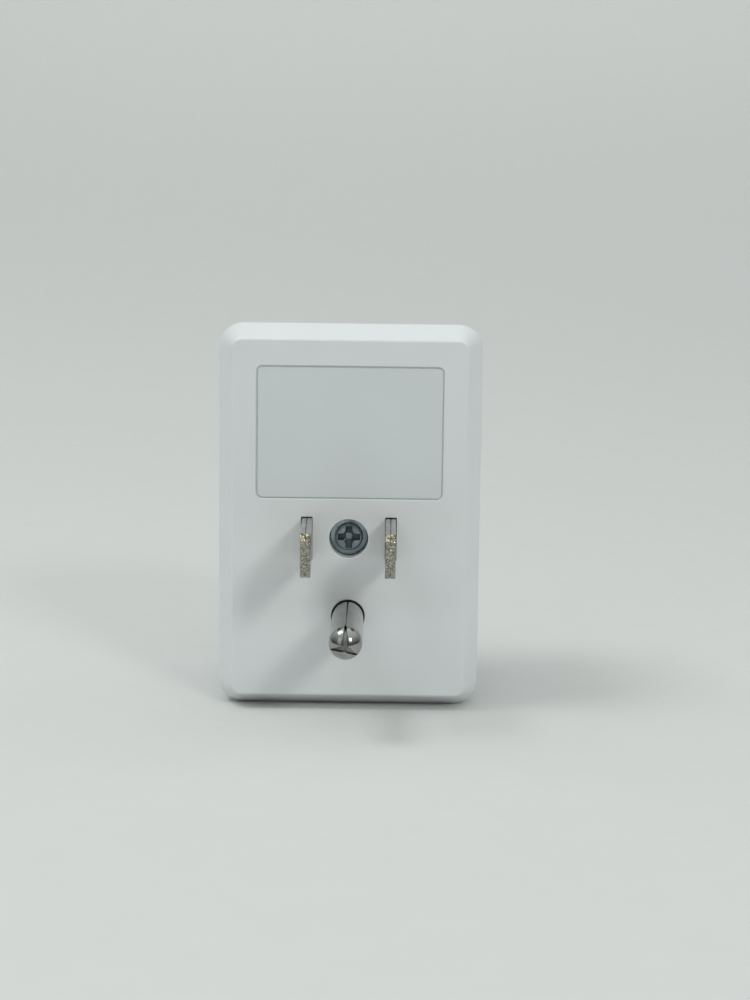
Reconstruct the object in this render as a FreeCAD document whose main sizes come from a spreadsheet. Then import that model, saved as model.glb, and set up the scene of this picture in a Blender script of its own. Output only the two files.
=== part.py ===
import FreeCAD, Part
import math
import os
import re
import Sketcher

# Plug in power meter. The frame's origin is midway between the two flat blades, on the rear
# face that lies against the wall. +X is to the right for someone facing the display, +Z is up,
# and +Y points into the wall, along the blades. A "depth" is counted from the rear face
# towards the display, so a place at depth d has Y = -d. All sizes are millimetres.

DIMENSIONS = {
    # housing
    "body_width": 40.0,
    "body_height": 58.6,
    "body_depth": 33.0,
    "base_drop": 26.4,
    "corner_radius": 3.7,
    "side_wall": 2.0,
    "back_wall": 2.4,
    "front_wall": 2.4,
    "bevel_width": 2.3,
    "bevel_depth": 4.75,
    "bevel_softness": 0.45,
    "front_rounding": 1.8,
    "parting_depth": 6.5,
    "parting_softness": 0.15,
    "mould_draft": 0.75,
    "lip_height": 1.4,
    "lip_thickness": 0.9,
    "fixed_gap": 0.1,
    "moving_gap": 0.2,
    # wall plug
    "blade_pitch": 12.7,
    "blade_width": 6.35,
    "blade_thickness": 1.5,
    "blade_length": 17.4,
    "blade_bevel": 0.95,
    "blade_slot_gap": 0.125,
    "shoulder_width": 8.6,
    "shoulder_height": 2.0,
    "tab_width": 2.8,
    "tab_offset": 0.4,
    "tab_stick_out": 1.2,
    "ground_drop": 11.89,
    "ground_radius": 2.38,
    "ground_length": 21.4,
    "ground_rounding": 2.0,
    "ground_hole_gap": 0.15,
    "ground_neck_step": 0.18,
    "ground_neck_depth": 0.05,
    "ground_flange_rim": 1.02,
    "ground_flange_height": 1.2,
    "ground_stub_radius": 1.6,
    # the one screw that holds the housing together
    "screw_hole_radius": 2.95,
    "hole_softness": 0.12,
    "screw_sink": 2.0,
    "screw_head_radius": 2.1,
    "screw_head_height": 1.7,
    "screw_head_rounding": 0.6,
    "screw_flange_gap": 0.15,
    "screw_flange_height": 0.6,
    "screw_shank_radius": 1.3,
    "screw_shank_gap": 0.15,
    "screw_thread_gap": 0.03,
    "screw_length": 13.0,
    "screw_point_radius": 0.45,
    "cross_length": 3.4,
    "cross_width": 0.95,
    "cross_depth": 1.0,
    "screw_boss_radius": 4.4,
    "screw_boss_depth": 6.2,
    # rating label
    "label_width": 27.8,
    "label_height": 19.7,
    "label_bottom": 6.15,
    "label_recess": 0.4,
    "label_thickness": 0.3,
    "label_radius": 0.8,
    "label_wall_slope": 30.0,
    # clamp plate behind the blades
    "retainer_width": 26.0,
    "retainer_top": 6.0,
    "retainer_bottom": 16.6,
    "retainer_thickness": 4.0,
    "retainer_radius": 1.0,
    "stake_spacing": 19.0,
    "stake_drop": 11.0,
    "stake_radius": 1.1,
    "stake_head_radius": 1.8,
    "stake_head_height": 0.7,
    # power board and its posts
    "board_depth": 9.0,
    "board_thickness": 1.6,
    "board_margin": 0.7,
    "post_inset": 3.8,
    "post_from_edge": 6.8,
    "post_radius": 2.2,
    "small_screw_radius": 0.9,
    "small_head_radius": 1.7,
    "small_head_height": 1.2,
    "small_screw_length": 4.0,
    "small_pilot_depth": 5.0,
    "strap_thickness": 0.8,
    "strap_width": 4.4,
    "strap_margin": 1.0,
    "solder_gap": 0.1,
    # socket insert
    "face_width": 30.0,
    "face_top": 8.9,
    "face_bottom": 19.6,
    "face_radius": 2.5,
    "face_rebate": 1.2,
    "face_proud": 0.4,
    "face_thickness": 2.0,
    "block_width": 20.4,
    "block_top": 6.2,
    "block_bottom": 16.9,
    "carrier_stand": 4.0,
    "chamber_gap": 0.2,
    "chamber_over_slot": 0.95,
    "ground_chamber_gap": 0.45,
    "slot_side_gap": 0.2,
    "slot_end_gap": 0.275,
    "neutral_slot_extra": 1.6,
    "ground_socket_gap": 0.37,
    "ground_flat_gap": 0.17,
    "insert_boss_radius": 2.9,
    "cap_thickness": 2.0,
    "cap_screw_spacing": 14.6,
    "cap_screw_drop": 11.2,
    # socket contacts
    "leaf_thickness": 0.5,
    "contact_half_width": 1.95,
    "contact_mouth": 1.5,
    "contact_straight": 4.0,
    "contact_pinch": 0.62,
    "contact_front_gap": 0.8,
    "pinch_from_front": 4.2,
    "line_contact_height": 6.4,
    "neutral_contact_height": 7.8,
    "tail_thickness": 1.0,
    "sleeve_play": 0.07,
    "sleeve_wall": 0.5,
    "sleeve_slit": 1.0,
    "sleeve_length": 12.0,
    "ground_tail_width": 2.4,
    "ground_tail_thickness": 0.8,
    # display opening and stack
    "lens_width": 31.0,
    "lens_height": 12.6,
    "lens_drop": 9.8,
    "lens_thickness": 1.1,
    "lens_rebate": 1.2,
    "lens_radius": 1.2,
    "lens_ledge": 1.3,
    "glass_gap": 0.2,
    "glass_width": 28.4,
    "glass_height": 12.0,
    "glass_thickness": 2.2,
    "frame_wall": 0.7,
    "strip_height": 3.3,
    "strip_width": 1.6,
    "strip_length": 26.0,
    "backlight_thickness": 2.6,
    "panel_thickness": 1.4,
    "panel_margin": 0.8,
    "panel_drop": 2.9,
    "panel_height": 20.4,
    "panel_post_radius": 1.9,
    "panel_post_inset": 2.4,
    "post_sink": 1.0,
    # buttons
    "button_drop": 19.6,
    "button_pitch": 9.2,
    "button_width": 7.0,
    "button_tall": 3.2,
    "button_radius": 0.9,
    "button_proud": 0.8,
    "button_softness": 0.35,
    "button_flange": 0.7,
    "button_flange_thickness": 0.85,
    "button_rest_gap": 0.15,
    "stem_radius": 1.2,
    "switch_width": 4.4,
    "switch_tall": 3.4,
    "switch_body_height": 2.4,
    "plunger_radius": 0.9,
    "plunger_gap": 0.1,
    "plunger_rise": 0.8,
    "plunger_root": 0.6,
    "plunger_well": 1.2,
    # board to board connector
    "header_rise": 1.0,
    "header_pitch": 2.0,
    "header_width": 12.4,
    "header_tall": 2.0,
    "header_pin_width": 0.6,
    "header_hole_radius": 0.47,
    "header_tail": 0.4,
    # parts on the power board
    "shunt_side": 13.4,
    "shunt_upper": 5.0,
    "shunt_lower": 7.4,
    "shunt_width": 2.4,
    "shunt_thickness": 0.9,
    "shunt_rise": 4.2,
    "mains_capacitor_width": 13.0,
    "mains_capacitor_tall": 5.4,
    "mains_capacitor_rise": 9.8,
    "mains_capacitor_drop": 6.2,
    "mains_capacitor_pitch": 10.0,
    "filter_capacitor_radius": 4.0,
    "filter_capacitor_rise": 9.6,
    "filter_capacitor_side": 11.0,
    "filter_capacitor_line": 17.6,
    "filter_capacitor_pitch": 3.5,
    "varistor_radius": 4.5,
    "varistor_thickness": 3.4,
    "varistor_leg_radius": 0.6,
    "varistor_side": 13.0,
    "varistor_line": 17.4,
    "varistor_pitch": 5.0,
    "fuse_radius": 4.1,
    "fuse_rise": 7.4,
    "fuse_side": 5.2,
    "fuse_line": 16.6,
    "fuse_pitch": 5.08,
    "lead_radius": 0.3,
    "lead_stand": 1.0,
    "lead_tail": 0.5,
    "chip_width": 4.0,
    "chip_length": 5.0,
    "chip_height": 1.4,
    "chip_stand": 0.15,
    "chip_side": 3.2,
    "chip_line": 17.4,
    "chip_pin_pitch": 1.27,
    "chip_pin_width": 0.4,
    "chip_pin_reach": 0.9,
    # parts on the back of the display board
    "controller_width": 7.0,
    "controller_height": 1.2,
    "controller_side": 7.0,
    "controller_drop": 12.2,
    "crystal_length": 8.0,
    "crystal_width": 3.2,
    "crystal_height": 2.6,
    "crystal_radius": 1.4,
    "crystal_side": 6.0,
    "crystal_drop": 11.2,
}

# Places that follow from the driving sizes, as expressions over the sheet's aliases.
TOP = "(body_height - base_drop)"
BOTTOM = "(-base_drop)"
HALF_WIDTH = "(body_width / 2)"
INNER_HALF = "(body_width / 2 - side_wall)"
INNER_FRONT = "(body_depth - front_wall)"
SCREW_SEAT = "(screw_sink + screw_head_height)"
RETAINER_FRONT = "(back_wall + retainer_thickness)"
BOARD_FRONT = "(board_depth + board_thickness)"
TAB_REACH = f"({BOARD_FRONT} + tab_stick_out)"
STRAP_REAR = "(board_depth - strap_thickness)"
SHUNT_MARGIN = "(shunt_thickness / 2 + strap_margin)"
CARRIER_REAR = f"({BOARD_FRONT} + carrier_stand)"
CAP_REAR = f"({CARRIER_REAR} - cap_thickness)"
SLOT_WIDTH = "(blade_thickness + 2 * slot_side_gap)"
LINE_SLOT = "(blade_width + 2 * slot_end_gap)"
NEUTRAL_SLOT = f"({LINE_SLOT} + neutral_slot_extra)"
CHAMBER_WIDTH = "(2 * contact_half_width + 2 * chamber_gap)"
FACE_SEAT = "(body_depth - face_rebate)"
FACE_FRONT = "(body_depth + face_proud)"
CHAMBER_FRONT = "(body_depth + face_proud - face_thickness)"
CONTACT_FRONT = f"({CHAMBER_FRONT} - contact_front_gap)"
CONTACT_REAR = f"({CARRIER_REAR} + fixed_gap)"
SLEEVE_REAR = f"({CONTACT_FRONT} - sleeve_length)"
GROUND_NECK = "(ground_radius - ground_neck_step)"
GROUND_FLANGE = "(ground_radius + ground_flange_rim)"
GROUND_SOCKET = "(ground_radius + ground_socket_gap)"
GROUND_FLAT = "(ground_radius + ground_flat_gap)"
SLEEVE_RADIUS = "(ground_radius + sleeve_play + sleeve_wall)"
GROUND_TAIL = f"(ground_drop + {SLEEVE_RADIUS} - ground_tail_thickness)"
LENS_SEAT = "(body_depth - lens_rebate)"
GLASS_FRONT = f"({INNER_FRONT} - glass_gap)"
GLASS_REAR = f"({GLASS_FRONT} - glass_thickness)"
PANEL_FRONT = f"({GLASS_REAR} - strip_height)"
PANEL_REAR = f"({PANEL_FRONT} - panel_thickness)"
SWITCH_FRONT = f"({PANEL_FRONT} + switch_body_height)"
PLUNGER_TIP = f"({SWITCH_FRONT} + plunger_rise)"
FLANGE_FRONT = f"({INNER_FRONT} - button_rest_gap)"
LENS_LINE = f"({TOP} - lens_drop)"
BUTTON_LINE = f"({TOP} - button_drop)"
PANEL_TOP = f"({TOP} - panel_drop)"
PANEL_BOTTOM = f"({TOP} - panel_drop - panel_height)"
HEADER_LINE = f"({PANEL_BOTTOM} + header_rise)"
CONTROLLER_LINE = f"({TOP} - controller_drop)"
CRYSTAL_LINE = f"({TOP} - crystal_drop)"
CAPACITOR_LINE = f"({TOP} - mains_capacitor_drop)"
HEADER_REAR = f"({PANEL_REAR} - header_tall)"
HEADER_PIN_COUNT = 6
PINS_PER_SIDE = 4

doc = FreeCAD.newDocument("PlugInPowerMeter")
sheet = doc.addObject("Spreadsheet::Sheet", "Sizes")
for row, (alias, value) in enumerate(DIMENSIONS.items(), start=1):
    sheet.set(f"A{row}", alias)
    sheet.set(f"B{row}", str(value))
    sheet.setAlias(f"B{row}", alias)
doc.recompute()


# --- binding sizes to the sheet ---------------------------------------------------------------

def expression(text):
    """The same text with each alias written as a reference to the sheet."""
    def refer(word):
        return "Sizes." + word.group() if word.group() in DIMENSIONS else word.group()
    return re.sub(r"[a-z_]+", refer, str(text))


def bind(thing, target, text):
    thing.setExpression(target, expression(text))


def number(text):
    """The present value of an expression, to draw a sketch near its final place."""
    return float(sheet.evalExpression(expression(text)))


# --- shapes drawn in a sketch; each one returns a function that draws itself ----------------------

def fix_point(sketch, geometry, end, x, y):
    """Hold one end of a sketch element at a bound distance from the sketch's origin."""
    for kind, text in (("DistanceX", x), ("DistanceY", y)):
        link = sketch.addConstraint(Sketcher.Constraint(kind, -1, 1, geometry, end, number(text)))
        bind(sketch, f"Constraints[{link}]", text)


def outline(*corners):
    """A closed outline of straight lines through the corners."""
    def draw(sketch):
        places = [FreeCAD.Vector(number(x), number(y), 0) for x, y in corners]
        lines = []
        for index, start in enumerate(places):
            end = places[(index + 1) % len(places)]
            lines.append(sketch.addGeometry(Part.LineSegment(start, end)))
        for index, line in enumerate(lines):
            following = lines[(index + 1) % len(lines)]
            sketch.addConstraint(Sketcher.Constraint("Coincident", line, 2, following, 1))
        for line, (x, y) in zip(lines, corners):
            fix_point(sketch, line, 1, x, y)
    return draw


def rectangle(left, right, low, high):
    return outline((left, low), (right, low), (right, high), (left, high))


def centred(x, y, width, height):
    """A rectangle about a centre point."""
    return rectangle(f"{x} - {width} / 2", f"{x} + {width} / 2",
                     f"{y} - {height} / 2", f"{y} + {height} / 2")


def disc(x, y, radius):
    def draw(sketch):
        centre = FreeCAD.Vector(number(x), number(y), 0)
        circle = sketch.addGeometry(Part.Circle(centre, FreeCAD.Vector(0, 0, 1), number(radius)))
        fix_point(sketch, circle, 3, x, y)
        link = sketch.addConstraint(Sketcher.Constraint("Radius", circle, number(radius)))
        bind(sketch, f"Constraints[{link}]", radius)
    return draw


def rounded(left, right, low, high, radius):
    """A rectangle whose corners are quarter circles."""
    def draw(sketch):
        x0, x1, y0, y1, r = (number(text) for text in (left, right, low, high, radius))
        ends = [((x0 + r, y0), (x1 - r, y0)), ((x1, y0 + r), (x1, y1 - r)),
                ((x1 - r, y1), (x0 + r, y1)), ((x0, y1 - r), (x0, y0 + r))]
        centres = [(x1 - r, y0 + r), (x1 - r, y1 - r), (x0 + r, y1 - r), (x0 + r, y0 + r)]
        lines = []
        arcs = []
        for quarter, ((start, end), centre) in enumerate(zip(ends, centres)):
            segment = Part.LineSegment(FreeCAD.Vector(*start, 0), FreeCAD.Vector(*end, 0))
            lines.append(sketch.addGeometry(segment))
            circle = Part.Circle(FreeCAD.Vector(*centre, 0), FreeCAD.Vector(0, 0, 1), r)
            turn = (quarter - 1) * math.pi / 2
            arcs.append(sketch.addGeometry(Part.ArcOfCircle(circle, turn, turn + math.pi / 2)))
        for quarter in range(4):
            line, arc, following = lines[quarter], arcs[quarter], lines[(quarter + 1) % 4]
            sketch.addConstraint(Sketcher.Constraint("Tangent", line, 2, arc, 1))
            sketch.addConstraint(Sketcher.Constraint("Tangent", arc, 2, following, 1))
            direction = "Horizontal" if quarter % 2 == 0 else "Vertical"
            sketch.addConstraint(Sketcher.Constraint(direction, line))
        for arc in arcs[1:]:
            sketch.addConstraint(Sketcher.Constraint("Equal", arcs[0], arc))
        link = sketch.addConstraint(Sketcher.Constraint("Radius", arcs[0], r))
        bind(sketch, f"Constraints[{link}]", radius)
        sides = (("DistanceY", 0, low), ("DistanceX", 1, right),
                 ("DistanceY", 2, high), ("DistanceX", 3, left))
        for kind, quarter, text in sides:
            link = sketch.addConstraint(
                Sketcher.Constraint(kind, -1, 1, lines[quarter], 1, number(text)))
            bind(sketch, f"Constraints[{link}]", text)
    return draw


# --- features of a body; depths run from the rear face towards the display ---------------------------

def new_body(label):
    return doc.addObject("PartDesign::Body", label)


def sketch_on(body, name, role, offset, shapes):
    """A sketch on one of the body's own origin planes, moved along its normal."""
    sketch = body.newObject("Sketcher::SketchObject", name)
    plane = [feature for feature in body.Origin.OriginFeatures if feature.Role == role][0]
    sketch.AttachmentSupport = [(plane, "")]
    sketch.MapMode = "FlatFace"
    bind(sketch, "AttachmentOffset.Base.z", offset)
    for draw in shapes:
        draw(sketch)
    return sketch


def add(body, name, rear, front, *shapes):
    """Material between two depths, with the outline given as X and Z."""
    profile = sketch_on(body, f"{body.Name}_{name}_outline", "XZ_Plane", rear, shapes)
    pad = body.newObject("PartDesign::Pad", f"{body.Name}_{name}")
    pad.Profile = profile
    bind(pad, "Length", f"({front}) - ({rear})")
    doc.recompute()
    return pad


def cut(body, name, rear, front, *shapes):
    """A hollow between two depths, with the outline given as X and Z."""
    profile = sketch_on(body, f"{body.Name}_{name}_outline", "XZ_Plane", front, shapes)
    before = body.Shape.Volume
    pocket = body.newObject("PartDesign::Pocket", f"{body.Name}_{name}")
    pocket.Profile = profile
    bind(pocket, "Length", f"({front}) - ({rear})")
    doc.recompute()
    if body.Shape.Volume >= before:
        raise RuntimeError(f"{pocket.Name} removed no material")
    return pocket


def slab(body, name, role, width, *shapes):
    """A profile given the same width to both sides of an origin plane."""
    profile = sketch_on(body, f"{body.Name}_{name}_outline", role, "0", shapes)
    pad = body.newObject("PartDesign::Pad", f"{body.Name}_{name}")
    pad.Profile = profile
    pad.SideType = "Symmetric"
    bind(pad, "Length", width)
    doc.recompute()
    return pad


def turned(body, *profile):
    """A solid of revolution about Y. The profile gives Y and the radius."""
    sketch = sketch_on(body, f"{body.Name}_profile", "YZ_Plane", "0", [outline(*profile)])
    revolution = body.newObject("PartDesign::Revolution", f"{body.Name}_turned")
    revolution.Profile = sketch
    revolution.ReferenceAxis = (sketch, ["H_Axis"])
    revolution.Angle = 360
    doc.recompute()
    return revolution


def edges_at(shape, text):
    """Names of the edges that lie wholly at one depth."""
    level = -number(text)
    near = 1e-4
    names = []
    for index, edge in enumerate(shape.Edges, start=1):
        box = edge.BoundBox
        if abs(box.YMin - level) < near and abs(box.YMax - level) < near:
            names.append(f"Edge{index}")
    return names


def soften(body, base, names, radius):
    fillet = body.newObject("PartDesign::Fillet", f"{base.Name}_soft")
    fillet.Base = (base, names)
    bind(fillet, "Radius", radius)
    doc.recompute()
    return fillet


def block(name, left, right, rear, front, low, high):
    """A plain box between two depths."""
    solid = doc.addObject("Part::Box", name)
    bind(solid, "Length", f"({right}) - ({left})")
    bind(solid, "Width", f"({front}) - ({rear})")
    bind(solid, "Height", f"({high}) - ({low})")
    bind(solid, "Placement.Base.x", left)
    bind(solid, "Placement.Base.y", f"-({front})")
    bind(solid, "Placement.Base.z", low)
    return solid


def round_bar(name, x, z, rear, front, radius):
    """A cylinder between two depths."""
    solid = doc.addObject("Part::Cylinder", name)
    towards_display = FreeCAD.Rotation(FreeCAD.Vector(1, 0, 0), 90)
    solid.Placement = FreeCAD.Placement(FreeCAD.Vector(0, 0, 0), towards_display)
    bind(solid, "Radius", radius)
    bind(solid, "Height", f"({front}) - ({rear})")
    bind(solid, "Placement.Base.x", x)
    bind(solid, "Placement.Base.y", f"-({rear})")
    bind(solid, "Placement.Base.z", z)
    return solid


def fused(label, pieces):
    solid = doc.addObject("Part::MultiFuse", label)
    solid.Shapes = pieces
    return solid


def group(label, pieces):
    """Identical pieces that stay separate solids in one node."""
    solids = doc.addObject("Part::Compound", label)
    solids.Links = pieces
    return solids


# --- housing ------------------------------------------------------------------------------------

def inset_outline(inset, radius):
    """The housing's outline, moved inwards."""
    return rounded(f"-{HALF_WIDTH} + {inset}", f"{HALF_WIDTH} - {inset}",
                   f"{BOTTOM} + {inset}", f"{TOP} - {inset}", radius)


def corner_edges(shape):
    """Names of the edges that run the whole way from the parting line to the display side."""
    run = number("body_depth - parting_depth")
    near = 1e-4
    return [f"Edge{index}" for index, edge in enumerate(shape.Edges, start=1)
            if edge.BoundBox.YLength > run - near]


def drafted_shell(body):
    """A block that narrows at the top and both sides by the mould's draft. Its foot stays level."""
    plan = sketch_on(body, f"{body.Name}_plan", "XY_Plane", BOTTOM, [outline(
        (f"-{HALF_WIDTH}", "-parting_depth"), (HALF_WIDTH, "-parting_depth"),
        (f"{HALF_WIDTH} - mould_draft", "-body_depth"), (f"-{HALF_WIDTH} + mould_draft", "-body_depth"))])
    block_pad = body.newObject("PartDesign::Pad", f"{body.Name}_block")
    block_pad.Profile = plan
    bind(block_pad, "Length", "body_height")
    wedge = sketch_on(body, f"{body.Name}_wedge_outline", "YZ_Plane", "0", [outline(
        ("-parting_depth", TOP), ("-body_depth", TOP), ("-body_depth", f"{TOP} - mould_draft"))])
    top_draft = body.newObject("PartDesign::Pocket", f"{body.Name}_top_draft")
    top_draft.Profile = wedge
    top_draft.SideType = "Symmetric"
    bind(top_draft, "Length", "body_width")
    doc.recompute()
    corners = soften(body, top_draft, corner_edges(top_draft.Shape), "corner_radius")
    display_side = soften(body, corners, edges_at(corners.Shape, "body_depth"), "front_rounding")
    return soften(body, display_side, edges_at(display_side.Shape, "parting_depth"), "parting_softness")


def post_places():
    return [(f"{side} * ({INNER_HALF} - post_inset)", height)
            for side in (-1, 1)
            for height in (f"({TOP} - post_from_edge)", f"({BOTTOM} + post_from_edge)")]


def stake_places():
    return [(f"{side} * stake_spacing / 2", "-stake_drop") for side in (-1, 1)]


def rear_cover():
    """The shell against the wall: bevelled rim, plug openings, label recess and board posts."""
    body = new_body("rear_cover")
    shell = add(body, "shell", "0", "parting_depth", inset_outline("0", "corner_radius"))
    bevel = body.newObject("PartDesign::Chamfer", "rear_cover_bevel")
    bevel.Base = (shell, edges_at(shell.Shape, "0"))
    bevel.ChamferType = "Two distances"
    bind(bevel, "Size", "bevel_depth")
    bind(bevel, "Size2", "bevel_width")
    doc.recompute()
    rim = edges_at(bevel.Shape, "0") + edges_at(bevel.Shape, "bevel_depth")
    softened = soften(body, bevel, rim, "bevel_softness")
    soften(body, softened, edges_at(softened.Shape, "parting_depth"), "parting_softness")
    cut(body, "cavity", "bevel_depth", "parting_depth",
        inset_outline("side_wall", "corner_radius - side_wall"))
    deep_inset = "(side_wall + bevel_width / 2)"
    cut(body, "deep_cavity", "back_wall", "bevel_depth", inset_outline(deep_inset, "(side_wall / 2)"))
    cut(body, "rebate", "parting_depth - lip_height", "parting_depth",
        inset_outline("(side_wall - lip_thickness)", "corner_radius - side_wall + lip_thickness"))
    add(body, "screw_boss", "back_wall", "screw_boss_depth", disc("0", "0", "screw_boss_radius"))
    add(body, "posts", "back_wall", "board_depth",
        *[disc(x, z, "post_radius") for x, z in post_places()])
    add(body, "stakes", "back_wall", RETAINER_FRONT,
        *[disc(x, z, "stake_radius") for x, z in stake_places()])
    add(body, "stake_heads", RETAINER_FRONT, f"({RETAINER_FRONT} + stake_head_height)",
        *[disc(x, z, "stake_head_radius") for x, z in stake_places()])
    cut(body, "post_pilots", "(board_depth - small_pilot_depth)", "board_depth",
        *[disc(x, z, "small_screw_radius + screw_thread_gap") for x, z in post_places()])
    cut(body, "screw_recess", "0", SCREW_SEAT, disc("0", "0", "screw_hole_radius"))
    cut(body, "screw_hole", SCREW_SEAT, "screw_boss_depth",
        disc("0", "0", "screw_shank_radius + screw_shank_gap"))
    slot_width = "(blade_thickness + 2 * blade_slot_gap)"
    slot_height = "(blade_width + 2 * blade_slot_gap)"
    cut(body, "blade_slots", "0", "back_wall",
        *[centred(f"{side} * blade_pitch / 2", "0", slot_width, slot_height) for side in (-1, 1)])
    cut(body, "ground_hole", "0", "back_wall", disc("0", "-ground_drop", "ground_radius + ground_hole_gap"))
    recess = cut(body, "label_recess", "0", "label_recess",
                 rounded("-label_width / 2", "label_width / 2", "label_bottom",
                         "label_bottom + label_height", "label_radius"))
    bind(recess, "TaperAngle", "label_wall_slope")
    doc.recompute()
    rims = [name for name in edges_at(recess.Shape, "0") if recess.Shape.getElement(name).isClosed()]
    soften(body, recess, rims, "hole_softness")
    return body


def button_places():
    return {"left_button": "-button_pitch", "middle_button": "0", "right_button": "button_pitch"}


def panel_post_places():
    return [(f"{side} * ({INNER_HALF} - panel_post_inset)", BUTTON_LINE) for side in (-1, 1)]


def front_cover():
    """The deep shell on the display side, with openings for the window, the buttons and the socket."""
    body = new_body("front_cover")
    drafted_shell(body)
    hollow = "(corner_radius - side_wall)"
    cut(body, "cavity", "parting_depth", INNER_FRONT, inset_outline("side_wall", hollow))
    lip_outer = "(side_wall - lip_thickness + fixed_gap)"
    lip_rear = "(parting_depth - lip_height + fixed_gap)"
    lip_round = "(corner_radius - side_wall + lip_thickness - fixed_gap)"
    add(body, "lip", lip_rear, "parting_depth", inset_outline(lip_outer, lip_round),
        inset_outline("side_wall", hollow))
    add(body, "panel_posts", PANEL_FRONT, f"({INNER_FRONT} + post_sink)",
        *[disc(x, z, "panel_post_radius") for x, z in panel_post_places()])
    cut(body, "panel_pilots", PANEL_FRONT, f"({PANEL_FRONT} + small_screw_length)",
        *[disc(x, z, "small_screw_radius + screw_thread_gap") for x, z in panel_post_places()])
    cut(body, "lens_recess", LENS_SEAT, "body_depth",
        rounded("-lens_width / 2", "lens_width / 2", f"{LENS_LINE} - lens_height / 2",
                f"{LENS_LINE} + lens_height / 2", "lens_radius"))
    cut(body, "lens_opening", INNER_FRONT, LENS_SEAT,
        rectangle("-lens_width / 2 + lens_ledge", "lens_width / 2 - lens_ledge",
                  f"{LENS_LINE} - lens_height / 2 + lens_ledge",
                  f"{LENS_LINE} + lens_height / 2 - lens_ledge"))
    half_wide = "(button_width / 2 + moving_gap)"
    half_tall = "(button_tall / 2 + moving_gap)"
    openings = [rounded(f"{x} - {half_wide}", f"{x} + {half_wide}", f"{BUTTON_LINE} - {half_tall}",
                        f"{BUTTON_LINE} + {half_tall}", "button_radius + moving_gap")
                for x in button_places().values()]
    cut(body, "button_openings", INNER_FRONT, "body_depth", *openings)
    cut(body, "face_rebate", FACE_SEAT, "body_depth",
        rounded("-face_width / 2 - fixed_gap", "face_width / 2 + fixed_gap",
                "-face_bottom - fixed_gap", "face_top + fixed_gap", "face_radius + fixed_gap"))
    cut(body, "face_opening", INNER_FRONT, FACE_SEAT,
        rectangle("-block_width / 2 - fixed_gap", "block_width / 2 + fixed_gap",
                  "-block_bottom - fixed_gap", "block_top + fixed_gap"))
    return body


def rating_label():
    """Blank sticker in the rear cover's recess."""
    body = new_body("rating_label")
    add(body, "sheet", "(label_recess - label_thickness)", "label_recess",
        rounded("-label_width / 2 + fixed_gap", "label_width / 2 - fixed_gap",
                "label_bottom + fixed_gap", "label_bottom + label_height - fixed_gap",
                "label_radius - fixed_gap"))
    return body


def cover_screw():
    """Self-tapping screw with a cross recess and a flange under its head, driven from the wall side."""
    body = new_body("cover_screw")
    end = f"({SCREW_SEAT} + screw_length)"
    flange = "(screw_hole_radius - screw_flange_gap)"
    flange_top = f"(-{SCREW_SEAT} + screw_flange_height)"
    screw = turned(body, ("-screw_sink", "0"), ("-screw_sink", "screw_head_radius"),
                   (flange_top, "screw_head_radius"), (flange_top, flange), (f"-{SCREW_SEAT}", flange),
                   (f"-{SCREW_SEAT}", "screw_shank_radius"),
                   (f"-{end} + screw_shank_radius", "screw_shank_radius"),
                   (f"-{end}", "screw_point_radius"), (f"-{end}", "0"))
    soften(body, screw, edges_at(screw.Shape, "screw_sink"), "screw_head_rounding")
    floor = "(screw_sink + cross_depth)"
    for name, width, height in (("upright", "cross_width", "cross_length"),
                                ("across", "cross_length", "cross_width")):
        cut(body, f"cross_{name}", "screw_sink", floor, centred("0", "0", width, height))
    return body


# --- wall plug ---------------------------------------------------------------------------------

def blade(label, side):
    """Flat plug blade with bevelled tip corners, a clamped shoulder and a solder tab."""
    body = new_body(label)
    half = "(blade_width / 2)"
    shoulder = "(shoulder_width / 2)"
    neck = "(-back_wall)"
    shoulder_end = "(-back_wall - shoulder_height)"
    tab_top = "(tab_offset + tab_width)"
    tip = "blade_length"
    slab(body, "sheet", "YZ_Plane", "blade_thickness", outline(
        (tip, f"-{half} + blade_bevel"), (tip, f"{half} - blade_bevel"),
        (f"{tip} - blade_bevel", half), (neck, half), (neck, shoulder), (shoulder_end, shoulder),
        (shoulder_end, tab_top), (f"-{TAB_REACH}", tab_top), (f"-{TAB_REACH}", "tab_offset"),
        (shoulder_end, "tab_offset"), (shoulder_end, f"-{shoulder}"), (neck, f"-{shoulder}"),
        (neck, f"-{half}"), (f"{tip} - blade_bevel", f"-{half}")))
    bind(body, "Placement.Base.x", f"{side} * blade_pitch / 2")
    return body


def ground_pin():
    """Round ground pin with a flange behind the rear wall and a solder stub."""
    body = new_body("ground_pin")
    flange_end = "(-back_wall - ground_flange_height)"
    pin = turned(body, ("ground_length", "0"), ("ground_length", "ground_radius"),
                 ("-ground_neck_depth", "ground_radius"), ("-ground_neck_depth", GROUND_NECK),
                 ("-back_wall", GROUND_NECK), ("-back_wall", GROUND_FLANGE),
                 (flange_end, GROUND_FLANGE), (flange_end, "ground_stub_radius"),
                 (f"-{TAB_REACH}", "ground_stub_radius"), (f"-{TAB_REACH}", "0"))
    soften(body, pin, edges_at(pin.Shape, "-ground_length"), "ground_rounding")
    bind(body, "Placement.Base.z", "-ground_drop")
    return body


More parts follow.
